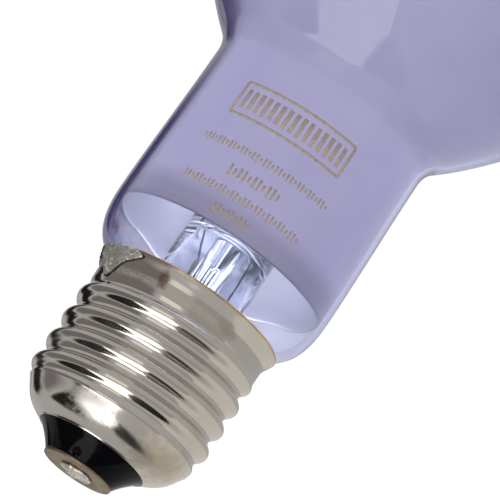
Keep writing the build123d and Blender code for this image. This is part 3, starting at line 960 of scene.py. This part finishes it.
class LAMP_OT_stem(BuildStep, bpy.types.Operator):
    """Build the glass stem: flare, tube, press, exhaust tube, arbor and button"""

    bl_idname = "lamp.stem"
    bl_label = "Glass stem"

    def execute(self, context):
        azimuths = round_angles(STEM_SIDES)
        seal_r = SEAL_R - GLASS_WALL
        spread = (math.cos(STEM_FLARE_ANGLE), math.sin(STEM_FLARE_ANGLE))
        outside = clamped([(STEM_R, STEM_FLARE_Z), (seal_r, SEAL_Z)], (0, 1), spread, 12)
        foot = [(SEAL_R, SEAL_Z + STEM_FOOT), (SEAL_R, SEAL_Z)]
        tube = foot + list(outside[::-1]) + [(STEM_R, (STEM_FLARE_Z + STEM_TOP_Z) / 2)]
        skins = turned(tube, azimuths) + self.press(azimuths) + turned(self.button(), azimuths)
        hollow = turned(self.bore(seal_r, spread), azimuths)
        channel_r, floor_z = EXHAUST_R - EXHAUST_WALL, STEM_TOP_Z + STEM_WALL
        channel = turned([
            (0.0, floor_z), (channel_r, floor_z), (channel_r, EXHAUST_TIP_Z - EXHAUST_TIP),
            (0.0, EXHAUST_TIP_Z - EXHAUST_WALL),
        ], azimuths)
        islands = [skin(hollow[::-1] + skins), skin(channel)]
        piece("stem_tube", islands, [clear_glass()], ["glass_stem"])
        return {"FINISHED"}

    @staticmethod
    def press(azimuths):
        """Rings that flatten the tube to the press and round off its end."""
        sections = []
        for t in np.linspace(0, 1, 12):
            flat = smooth(t)
            sections.append((
                STEM_R + (PRESS_HALF_WIDTH - STEM_R) * flat, STEM_R + (PRESS_HALF_DEPTH - STEM_R) * flat,
                STEM_TOP_Z + (PRESS_Z - STEM_TOP_Z) * t,
            ))
        sections.append((PRESS_HALF_WIDTH, PRESS_HALF_DEPTH, PRESS_END_Z + BEND / 2))
        sections.append((PRESS_HALF_WIDTH * PRESS_TAPER[0], PRESS_HALF_DEPTH * PRESS_TAPER[1], PRESS_END_Z))
        turn = math.radians(PRESS_AZIMUTH)
        rings = []
        for half_width, half_depth, height in sections:
            wide, deep = half_width * np.cos(azimuths - turn), half_depth * np.sin(azimuths - turn)
            x = wide * math.cos(turn) - deep * math.sin(turn)
            y = wide * math.sin(turn) + deep * math.cos(turn)
            rings.append([(a, b, height) for a, b in zip(x, y)])
        return rings

    @staticmethod
    def button():
        """Radius and height along the arbor and round the button at its end."""
        half = BUTTON_HEIGHT / 2
        line = [(ARBOR_R, PRESS_END_Z - BEND / 2), (ARBOR_R, BUTTON_Z + half + BEND / 3)]
        for t in np.linspace(0.12, 0.98, 12):
            angle = math.pi * t
            line.append((BUTTON_R * math.sin(angle) ** BUTTON_FULLNESS, BUTTON_Z + half * math.cos(angle)))
        return line + [(0.0, BUTTON_Z - half)]

    @staticmethod
    def bore(seal_r, spread):
        """Radius and height down the inside of the tube to its floor, and up to the exhaust tube's tip."""
        wall_r, floor_z = STEM_R - STEM_WALL, STEM_TOP_Z + STEM_WALL
        top = (seal_r - STEM_WALL / 2, SEAL_Z + STEM_FOOT)
        inside = clamped([(wall_r, STEM_FLARE_Z), top], (0, 1), spread, 12)
        floor = [
            (wall_r, floor_z + BEND), (STEM_R - STEM_WALL * 1.4, floor_z + BEND / 3),
            (EXHAUST_R + BEND / 3, floor_z), (EXHAUST_R, floor_z + BEND / 3),
        ]
        tip = [
            (EXHAUST_R, EXHAUST_TIP_Z - EXHAUST_TIP), (EXHAUST_R * 0.8, EXHAUST_TIP_Z - EXHAUST_TIP * 0.6),
            (EXHAUST_WALL, EXHAUST_TIP_Z - EXHAUST_TIP * 0.1), (0.0, EXHAUST_TIP_Z),
        ]
        return list(inside[::-1]) + floor + tip


class LAMP_OT_wires(BuildStep, bpy.types.Operator):
    """Build the coil, its supports, the inner leads and the outer leads"""

    bl_idname = "lamp.wires"
    bl_label = "Wires and filament"

    def execute(self, context):
        self.coil()
        self.inner_leads()
        self.supports()
        self.outer_leads()
        return {"FINISHED"}

    def coil(self):
        """The tungsten helix, bent to an open ring at the bowl's focus."""
        turns = sizes().coil_turns
        start, size = GAP_AZIMUTH + GAP_ANGLE / 2, 360 - GAP_ANGLE
        steps = turns * COIL_STEPS
        wire_r = sizes().coil_wire / 2
        winding = COIL_R - wire_r
        line = []
        for step in range(steps + 1):
            azimuth = start + size * step / steps
            angle = 2 * math.pi * turns * step / steps
            across, up = winding * math.cos(angle), winding * math.sin(angle)
            line.append(at(COIL_RING_R + across, azimuth, COIL_Z + up))
        rings = pipe(line, wire_r, 6)
        piece("coil", [skin(rings)], [wire("tungsten", (0.32, 0.32, 0.34), 0.4)], ["filament"])

    def inner_leads(self):
        """Stiff wires from the press to a clamp on either end of the coil."""
        material = wire("lead_wire", (0.55, 0.54, 0.52), 0.28)
        for number, side in ((1, -1), (2, 1)):
            end = at(COIL_RING_R, GAP_AZIMUTH + side * GAP_ANGLE / 2, COIL_Z)
            start = at(LEAD_SPACING / 2, GAP_AZIMUTH + side * 90, SPLICE_Z)
            knee = Vector((start.x, start.y, PRESS_END_Z - BEND))
            elbow = Vector((end.x, end.y, BUTTON_Z))
            line = bent([start, knee, elbow, end], BEND)
            angles = [math.pi * t / 8 for t in range(9)]
            clamp = [end + Vector((0, 0, CLAMP_HALF * math.cos(angle))) for angle in angles]
            radii = [max(CLAMP_R * math.sin(angle), 0.02 * MM) for angle in angles]
            islands = [skin(pipe(line, INNER_LEAD_R)), skin(pipe(clamp, radii, 16))]
            piece(f"inner_lead_wire_{number}", islands, [material], [f"inner_lead_{number}"])

    def supports(self):
        """Wires from the glass button to an eye round the coil."""
        material = wire("support_wire", (0.42, 0.42, 0.44), 0.3)
        size = 360 - GAP_ANGLE
        for index in range(SUPPORT_COUNT):
            azimuth = GAP_AZIMUTH + GAP_ANGLE / 2 + size * (index + 1) / (SUPPORT_COUNT + 1)
            eye_r = COIL_R + EYE_CLEARANCE + SUPPORT_R
            arm = bent(
                [at(BUTTON_R / 2, azimuth, BUTTON_Z), at(COIL_RING_R, azimuth, BUTTON_Z),
                 at(COIL_RING_R, azimuth, COIL_Z + eye_r)], BEND,
            )
            eye = []
            for step in range(EYE_STEPS + 1):
                angle = math.pi / 2 + 2 * math.pi * step / EYE_STEPS
                across, up = eye_r * math.cos(angle), eye_r * math.sin(angle)
                eye.append(at(COIL_RING_R + across, azimuth, COIL_Z + up))
            islands = [skin(pipe(arm, SUPPORT_R, 10)), skin(pipe(eye, SUPPORT_R, 10))]
            piece(f"support_{index + 1}", islands, [material], [f"support_wire_{index + 1}"])

    def outer_leads(self):
        """Thin wires from the press to the shell's rim and through the insulator to the contact."""
        material = wire("outer_wire", (0.12, 0.115, 0.13), 0.4)
        x, y = SHELL_LEAD_AT
        splice_a = at(LEAD_SPACING / 2, GAP_AZIMUTH - 90, SPLICE_Z)
        splice_b = at(LEAD_SPACING / 2, GAP_AZIMUTH + 90, SPLICE_Z)
        over_neck_r = (SEAL_R + CREST_R - THREAD_DEPTH - SHELL_WALL) / 2
        to_shell = bent(
            [
                splice_a, (splice_a.x, splice_a.y, STEM_TOP_Z + BEND), (x, y, STEM_TOP_Z + 4 * BEND),
                (x, y, SEAL_Z),
                at(over_neck_r, SHELL_LEAD_AZIMUTH, SEAL_Z + STEM_FOOT + 2 * BEND),
                at(over_neck_r, SHELL_LEAD_AZIMUTH, COLLAR_Z + 2 * OUTER_LEAD_R),
                at(RIM_R - SHELL_WALL - NECK_RIM_GAP / 2, SHELL_LEAD_AZIMUTH, RIM_Z),
            ],
            BEND / 2,
        )
        knot = [Vector((x, y, KNOT_Z + KNOT_LENGTH * (t / 10 - 0.5))) for t in range(11)]
        radii = [OUTER_LEAD_R * (1 + KNOT_SWELL * math.sin(math.pi * t / 10) ** 0.7) for t in range(11)]
        islands = [skin(pipe(to_shell, OUTER_LEAD_R)), skin(pipe(knot, radii))]
        piece("outer_lead_shell", islands, [material], ["shell_lead"])
        to_contact = bent(
            [
                splice_b, (splice_b.x, splice_b.y, EXHAUST_TIP_Z - EXHAUST_TIP), (0, 0, INSULATOR_Z - BEND),
                (0, 0, LAMP_LENGTH + SOLDER_HEIGHT / 2),
            ],
            BEND,
        )
        islands = [skin(pipe(to_contact, OUTER_LEAD_R))]
        piece("outer_lead_contact", islands, [material], ["contact_lead"])


class LAMP_OT_cap(BuildStep, bpy.types.Operator):
    """Build the screw shell, the insulator, the contact and the cement"""

    bl_idname = "lamp.cap"
    bl_label = "Screw cap"

    def execute(self, context):
        self.shell()
        self.insulator()
        self.contact()
        self.cement()
        return {"FINISHED"}

    def shell(self):
        """Rolled shell with a thread that rises out of the collar and runs out under the shoulder."""
        azimuths = round_angles(SHELL_SIDES)
        outside = turned(shell_rows(0.0, azimuths), azimuths)
        inside = turned(shell_rows(SHELL_WALL, azimuths), azimuths)
        half, quarter = SHELL_WALL / 2, SHELL_WALL / 4
        rim = [(RIM_R - half + half * math.cos(a), RIM_Z - half * math.sin(a))
               for a in np.linspace(0, math.pi, 7)[1:-1]]
        lip = [(LIP[0] - quarter + quarter * math.cos(a), LIP[1] + quarter * math.sin(a))
               for a in np.linspace(0, math.pi, 5)[1:-1]]
        rings = outside[::-1] + turned(rim, azimuths) + inside + turned(lip, azimuths)[::-1]
        piece(
            "shell", [skin(rings, loop=True)], [nickel_plate(), cut_brass()], ["screw_shell"],
            pick=lambda face: int(face.center.z < RIM_Z + CUT_EDGE),
        )

    def insulator(self):
        """Glass cast into the shell's end, with a pip near the contact."""
        azimuths = round_angles(INSULATOR_SIDES)
        rings = turned([(CONTACT_HOLE_R, CONTACT_Z), (CONTACT_R - 2 * DISC_EDGE, CONTACT_Z)], azimuths)
        foot = (LIP[0] - SHELL_WALL / 2, LIP[1])
        across = (azimuths - PIP_AZIMUTH + math.pi) % (2 * math.pi) - math.pi
        for t in np.linspace(1, 0, 25):
            bow = 4 * t * (1 - t) * CONE_BOW
            radius = foot[0] + (CONTACT_R - foot[0]) * t - bow
            height = foot[1] + (CONTACT_Z - foot[1]) * t - bow
            far = np.clip(np.hypot(across * radius, height - (CONTACT_Z - PIP_DEPTH)) / PIP_R, 0, 1)
            rings.append(ring(radius + PIP_HEIGHT * (1 + np.cos(math.pi * far)) / 2, height, azimuths))
        for radius, height in cap_line(SHELL_WALL + FILM_GAP)[::-1]:
            if INSULATOR_Z < height < LIP[1] - SHELL_WALL:
                rings.append(ring(radius, height, azimuths))
        rings += turned([(DISH_R, INSULATOR_Z), (CONTACT_HOLE_R, CONTACT_Z - INSULATOR_FLOOR)], azimuths)
        piece("insulator_glass", [skin(rings, loop=True)], [black_glass()], ["insulator"])

    def contact(self):
        """Thin disc with a rounded edge, slightly dished round its hole."""
        low_z = LAMP_LENGTH - DISC_EDGE
        line = [(CONTACT_HOLE_R, CONTACT_Z), (CONTACT_HOLE_R, low_z)]
        for radius in np.linspace(CONTACT_HOLE_R * 1.05, CONTACT_R - DISC_EDGE, 16):
            share = (radius - CONTACT_HOLE_R) / (2 * CONTACT_HOLE_R)
            line.append((radius, low_z + DISC_EDGE * smooth(share)))
        line += list(arc((CONTACT_R - DISC_EDGE, low_z), DISC_EDGE, math.pi / 2, 0, 5)[1:])
        line += [(CONTACT_R, CONTACT_Z)]
        islands = [skin(turned(line), loop=True)]
        piece("contact_disc", islands, [contact_brass()], ["centre_contact"])

    def cement(self):
        """Ring of cement between the neck and the collar, with a groove for the lead."""
        low, high = CEMENT
        heights = np.linspace(high, low, 12)
        glass = outline(-FILM_GAP)
        neck = np.interp(heights, glass[::-1, 1], glass[::-1, 0])
        azimuths = round_angles(CEMENT_SIDES)
        lead = math.radians(SHELL_LEAD_AZIMUTH)
        beside = (azimuths - lead + math.pi) % (2 * math.pi) - math.pi
        groove = LEAD_GROOVE * np.clip(1 - (beside * COLLAR_R / LEAD_GROOVE) ** 2, 0, None)
        flare = np.array(list(rim_flare()) + [(COLLAR_R, high)])
        wall = np.interp(heights, flare[:, 1], flare[:, 0]) - SHELL_WALL - FILM_GAP
        outer = [ring(radius - groove, height, azimuths) for radius, height in zip(wall, heights)]
        inner = turned(zip(neck[::-1], heights[::-1]), azimuths)
        piece("cement_ring", [skin(outer + inner, loop=True)], [cement()], ["basing_cement"])


class LAMP_OT_solder(BuildStep, bpy.types.Operator):
    """Build the tin on the contact and the rough lump over the shell's rim"""

    bl_idname = "lamp.solder"
    bl_label = "Solder"

    def execute(self, context):
        material = tin_solder()
        self.centre(material)
        self.side(material)
        return {"FINISHED"}

    def centre(self, material):
        """Flat blob with a ragged edge round the end of the lead."""
        azimuths = round_angles(SOLDER_SIDES)
        grain = sizes().solder_roughness
        reach = np.array([
            1 + 0.16 * noise.noise(Vector((math.cos(a), math.sin(a), 0.3)) * 2.2) + 0.1 * math.cos(2 * a)
            for a in azimuths
        ])
        edge = LAMP_LENGTH + 0.02 * MM
        rings = [ring(0.0, LAMP_LENGTH + SOLDER_HEIGHT, azimuths)]
        for share in np.linspace(0.06, 1.0, 18):
            height = edge + SOLDER_HEIGHT * math.sqrt(1 - share**2.4)
            points = ring(SOLDER_R * share * reach, height, azimuths)
            rings.append(rough(points, grain * 1.5 * (1 - share**6), 0.9 * MM, 3.0))
        rings += turned([
            (CONTACT_HOLE_R, CONTACT_Z + CONTACT_WALL / 2), (CONTACT_HOLE_R * 0.98, CONTACT_Z),
            (0.0, CONTACT_Z),
        ], azimuths)
        piece("contact_solder", [skin(rings)], [material], ["centre_solder"])

    def side(self, material):
        """Lump that hugs the rim, with a tongue down the collar and a pointed end along the rim."""
        flare = rim_flare()
        edge = self.side_edge()
        middle = np.array(SIDE_SOLDER_MIDDLE)
        grain = sizes().solder_roughness

        def surface(azimuth, along, lift):
            """Point over the shell at an azimuth and at millimetres above the rim."""
            height = RIM_Z + along * MM
            if along < 0:
                base = RIM_R + along * MM * 1.2
            else:
                base = float(np.interp(height, flare[:, 1], flare[:, 0]))
            return tuple(at(base + lift, azimuth, height - max(0.0, 0.6 - along) * lift * 0.5))

        def lumpy(azimuth, along, share):
            """Lift of the lump's rough skin at a share of the way from its middle to its edge."""
            wander = noise.fractal(Vector((azimuth * 0.42, along * 2.3, 1.7)), 0.8, 2.0, 4) * grain * 1.5
            return 0.02 * MM + SIDE_SOLDER_LUMP * (1 - share**3.5) ** 0.6 + wander * (1 - share**8)

        def burnt(face):
            """1 on the thin edge of the lump and at its end beside the lead."""
            x, y, height = face.center
            thin = math.hypot(x, y) - np.interp(height, flare[:, 1], flare[:, 0]) < BURNT_EDGE
            return int(thin or math.degrees(math.atan2(y, x)) > BURNT_END_AZIMUTH)

        rings = []
        for share in np.linspace(0, 1, 22):
            places = middle + (edge - middle) * share if share else [middle]
            rings.append([surface(azimuth, along, lumpy(azimuth, along, share)) for azimuth, along in places])
        for share in np.linspace(0.97, 0, 8):
            places = middle + (edge - middle) * share if share else [middle]
            rings.append([surface(azimuth, along, 0.01 * MM) for azimuth, along in places])
        piece("rim_solder", [skin(rings)], [material, burnt_flux()], ["side_solder"], pick=burnt)

    @staticmethod
    def side_edge():
        """Smooth closed line through the points of the side solder's edge."""
        points = np.array(SIDE_SOLDER_EDGE, float)
        count = len(points)
        line = []
        for i in range(count):
            p0, p1, p2, p3 = (points[(i + k) % count] for k in (-1, 0, 1, 2))
            for t in np.arange(8) / 8:
                line.append(0.5 * (
                    2 * p1 + (p2 - p0) * t + (2 * p0 - 5 * p1 + 4 * p2 - p3) * t * t
                    + (3 * p1 - p0 - 3 * p2 + p3) * t**3
                ))
        return np.array(line)[::-1]


class LAMP_OT_print(BuildStep, bpy.types.Operator):
    """Build the gold print on the neck: a bordered band of bars and rows of upright bars"""

    bl_idname = "lamp.print"
    bl_label = "Print"

    def execute(self, context):
        half = sizes().print_height / 2
        start, end = PRINT_AZIMUTH - PRINT_HALF_WIDTH, PRINT_AZIMUTH + PRINT_HALF_WIDTH
        low, high = PRINT_Z - half, PRINT_Z + half
        marks = []
        for edge_z in (low, high):
            marks.append((start, end, edge_z - PRINT_LINE / 2, edge_z + PRINT_LINE / 2))
        for azimuth in (start, end):
            marks.append((azimuth - PRINT_SIDE_HALF, azimuth + PRINT_SIDE_HALF, low, high))
        rise = half - 2.2 * PRINT_LINE
        for bar in range(PRINT_BARS):
            azimuth = start + (end - start) * (bar + 1) / (PRINT_BARS + 1)
            marks.append((azimuth - PRINT_BAR_HALF, azimuth + PRINT_BAR_HALF, PRINT_Z - rise, PRINT_Z + rise))
        for row_z, reach, count, height in PRINT_ROWS:
            across = PRINT_ROW_FILL * 2 * reach / count
            for bar in range(count):
                azimuth = PRINT_AZIMUTH - reach + 2 * reach * (bar + 0.5) / count
                rise = height / 2 * (1.0 if bar % 3 else PRINT_SHORT_BAR)
                marks.append((azimuth - across, azimuth + across, row_z - rise, row_z + rise))
        islands = [self.patch(mark) for mark in marks]
        ink = piece("neck_print", islands, [gold_print()], [])
        ink.visible_shadow = False
        ink.visible_transmission = False
        return {"FINISHED"}

    @staticmethod
    def patch(mark):
        """Thin closed field of ink that follows the glass."""
        left, right, low, high = mark
        across = max(2, int((right - left) / 1.5) + 1)
        vertices, faces = [], []
        for layer in (PRINT_LIFT, PRINT_LIFT + PRINT_INK):
            for height in (low, high):
                radius = float(glass_radius(height)) + layer
                for azimuth in np.linspace(left, right, across):
                    vertices.append(tuple(at(radius, azimuth, height)))
        layer_size = 2 * across

        def side(a, b):
            """Face between the two layers along one step of the field's border."""
            faces.append((b, b + layer_size, a + layer_size, a))

        for i in range(across - 1):
            inner = (i, i + 1, across + i + 1, across + i)
            faces.append(inner[::-1])
            faces.append(tuple(index + layer_size for index in inner))
            side(i, i + 1)
            side(across + i + 1, across + i)
        side(across, 0)
        side(across - 1, layer_size - 1)
        return vertices, faces


class LAMP_OT_stage(BuildStep, bpy.types.Operator):
    """Set the floor, the lights, the dark and pale reflections and the camera"""

    bl_idname = "lamp.stage"
    bl_label = "Stage"

    def execute(self, context):
        scene = context.scene
        scene.view_settings.view_transform = "Standard"
        scene.cycles.max_bounces = 40
        scene.cycles.transmission_bounces = 20
        scene.cycles.glossy_bounces = 24
        self.floor()
        self.surroundings()
        self.softbox("high_light", **HIGH_LIGHT)
        self.softbox("back_light", **BACK_LIGHT, gloss=False)
        for values in GLOSS_SCREENS:
            self.screen(*values)
        for values in GLASS_SCREENS:
            self.screen(*values, behind=True)
        self.camera()
        return {"FINISHED"}

    @staticmethod
    def brightness(nodes, links, straight, gloss, through):
        """Brightness that depends on how a place is seen: straight, in gloss or through glass."""
        path = nodes.new("ShaderNodeLightPath")
        total = math_node(nodes, links, "MULTIPLY", path.outputs["Is Camera Ray"], straight)
        total = math_node(nodes, links, "MULTIPLY_ADD", path.outputs["Is Glossy Ray"], gloss, total)
        return math_node(nodes, links, "MULTIPLY_ADD", path.outputs["Is Transmission Ray"], through, total)

    def floor(self):
        """Pale floor that shows white, keeps the shadow and lights the mirror's inside from below."""
        mesh = bpy.data.meshes.new("floor")
        corners = [(x * FLOOR_REACH, y * FLOOR_REACH, 0) for x, y in ((-1, -1), (1, -1), (1, 1), (-1, 1))]
        mesh.from_pydata(corners, [], [(0, 1, 2, 3)])
        material = bpy.data.materials.new("pale_floor")
        material.use_nodes = True
        nodes, links = material.node_tree.nodes, material.node_tree.links
        shader = nodes["Principled BSDF"]
        shader.inputs["Base Color"].default_value = (0.5, 0.5, 0.5, 1)
        shader.inputs["Roughness"].default_value = 1.0
        shader.inputs["Specular IOR Level"].default_value = 0.0
        shader.inputs["Emission Color"].default_value = (1, 1, 1, 1)
        place = nodes.new("ShaderNodeTexCoord")
        far = nodes.new("ShaderNodeVectorMath")
        far.operation = "LENGTH"
        links.new(place.outputs["Object"], far.inputs[0])
        under = math_node(nodes, links, "LESS_THAN", far.outputs["Value"], UNDER_LAMP_R)
        path = nodes.new("ShaderNodeLightPath")
        bounced_twice = math_node(nodes, links, "GREATER_THAN", path.outputs["Glossy Depth"], 1.5)
        mirrored = math_node(nodes, links, "MULTIPLY", under, bounced_twice)
        through = math_node(
            nodes, links, "MULTIPLY_ADD", mirrored, UNDER_LAMP_BOOST, FLOOR_THROUGH_GLASS,
        )
        strength = self.brightness(nodes, links, straight=0.72, gloss=0.12, through=through)
        links.new(strength, shader.inputs["Emission Strength"])
        mesh.materials.append(material)
        obj = added("floor", mesh)

    def surroundings(self):
        """White behind the lamp, and a plain grey room for light and reflections."""
        world = bpy.data.worlds.new("room")
        bpy.context.scene.world = world
        world.use_nodes = True
        nodes, links = world.node_tree.nodes, world.node_tree.links
        seen = self.brightness(nodes, links, straight=ROOM_SEEN, gloss=0.0, through=ROOM_SEEN)
        background = nodes["Background"]
        background.inputs["Color"].default_value = (1.0, 0.99, 0.98, 1)
        links.new(math_node(nodes, links, "ADD", seen, ROOM_LIGHT), background.inputs["Strength"])

    def softbox(self, name, azimuth, elevation, distance, size, strength, gloss=True):
        """Area light that faces the cap. Its strength is the brightness of its face."""
        light = bpy.data.lights.new(name, "AREA")
        light.shape = "RECTANGLE"
        light.size, light.size_y = size
        light.energy = strength * size[0] * size[1] * math.pi
        obj = added(name, light)
        place = self.around(azimuth, elevation, distance)
        turn = (self.middle() - place).to_track_quat("-Z", "Y").to_matrix().to_4x4()
        obj.matrix_world = Matrix.Translation(place) @ turn
        obj.visible_camera = False
        obj.visible_glossy = gloss
        obj.visible_transmission = False

    def screen(self, name, azimuths, elevations, reach, brightness, colour, behind=False):
        """Curved screen with soft edges that shows only in gloss, or else only through glass."""
        across, rise = SCREEN_GRID
        fade = GLASS_SCREEN_FADE if behind else 1.0
        vertices = [
            tuple(self.around(azimuth, elevation, reach))
            for elevation in np.linspace(*elevations, rise) for azimuth in np.linspace(*azimuths, across)
        ]
        faces = [
            (i * across + j, i * across + j + 1, (i + 1) * across + j + 1, (i + 1) * across + j)
            for i in range(rise - 1) for j in range(across - 1)
        ]
        mesh = bpy.data.meshes.new(name)
        mesh.from_pydata(vertices, [], faces)
        cover = mesh.attributes.new("cover", "FLOAT", "POINT")
        cover.data.foreach_set("value", [
            min(1.0, min(i, rise - 1 - i, j, across - 1 - j) / fade)
            for i in range(rise) for j in range(across)
        ])
        material = bpy.data.materials.new(name)
        material.use_nodes = True
        shader = material.node_tree.nodes["Principled BSDF"]
        shown = material.node_tree.nodes.new("ShaderNodeAttribute")
        shown.attribute_name = "cover"
        material.node_tree.links.new(shown.outputs["Fac"], shader.inputs["Alpha"])
        shader.inputs["Base Color"].default_value = (0, 0, 0, 1)
        shader.inputs["Specular IOR Level"].default_value = 0.0
        shader.inputs["Emission Color"].default_value = (*colour, 1)
        shader.inputs["Emission Strength"].default_value = brightness
        mesh.materials.append(material)
        obj = added(name, mesh)
        obj.visible_camera = False
        obj.visible_diffuse = False
        obj.visible_shadow = False
        obj.visible_glossy = not behind
        obj.visible_transmission = behind

    @staticmethod
    def middle():
        """Point on the axis that the lights and screens stand round."""
        return Vector((0, 0, STAGE_Z))

    def around(self, azimuth, elevation, distance):
        """Place at a distance from the cap, by its azimuth and elevation in degrees."""
        rise = math.radians(elevation)
        return self.middle() + at(distance * math.cos(rise), azimuth, distance * math.sin(rise))

    def camera(self):
        """Camera on the cap's side, rolled so that the cap points down to the left."""
        cosine, sine = math.cos(CAMERA_ELEVATION), math.sin(CAMERA_ELEVATION)
        back, level, rise = Vector((0, -cosine, sine)), Vector((1, 0, 0)), Vector((0, sine, cosine))
        right = level * math.cos(CAMERA_ROLL) - rise * math.sin(CAMERA_ROLL)
        up = level * math.sin(CAMERA_ROLL) + rise * math.cos(CAMERA_ROLL)
        data = bpy.data.cameras.new("camera")
        data.sensor_width = 36.0
        data.lens = data.sensor_width * CAMERA_DISTANCE / CAMERA_FIELD
        data.clip_start, data.clip_end = 0.01, 50.0
        obj = added("camera", data)
        turn = Matrix((right, up, back)).transposed().to_4x4()
        obj.matrix_world = Matrix.Translation(Vector(CAMERA_TARGET) + back * CAMERA_DISTANCE) @ turn
        bpy.context.scene.camera = obj


class LAMP_PT_panel(bpy.types.Panel):
    """Sizes, colours and steps of the lamp"""

    bl_idname = "LAMP_PT_panel"
    bl_label = "Basking Lamp"
    bl_space_type = "VIEW_3D"
    bl_region_type = "UI"
    bl_category = "Basking Lamp"

    def draw(self, context):
        layout = self.layout
        for group, labels in ((sizes(), LampSizes.__annotations__), (finish(), LampFinish.__annotations__)):
            box = layout.box()
            for label in labels:
                box.prop(group, label)
        for step in STEPS:
            layout.operator(step.bl_idname)


STEPS = (
    LAMP_OT_envelope, LAMP_OT_mirror, LAMP_OT_stem, LAMP_OT_wires, LAMP_OT_cap, LAMP_OT_solder, LAMP_OT_print,
    LAMP_OT_stage,
)
CLASSES = (LampSizes, LampFinish, *STEPS, LAMP_PT_panel)


def register():
    """Registers the classes and hangs the settings on the scene."""
    for cls in CLASSES:
        bpy.utils.register_class(cls)
    bpy.types.Scene.lamp_sizes = PointerProperty(type=LampSizes)
    bpy.types.Scene.lamp_finish = PointerProperty(type=LampFinish)


def unregister():
    """Takes the settings and the classes away again."""
    del bpy.types.Scene.lamp_finish
    del bpy.types.Scene.lamp_sizes
    for cls in reversed(CLASSES):
        bpy.utils.unregister_class(cls)


def main():
    """Runs the steps in order."""
    register()
    for step in STEPS:
        space, name = step.bl_idname.split(".")
        getattr(getattr(bpy.ops, space), name)()


if __name__ == "__main__":
    main()
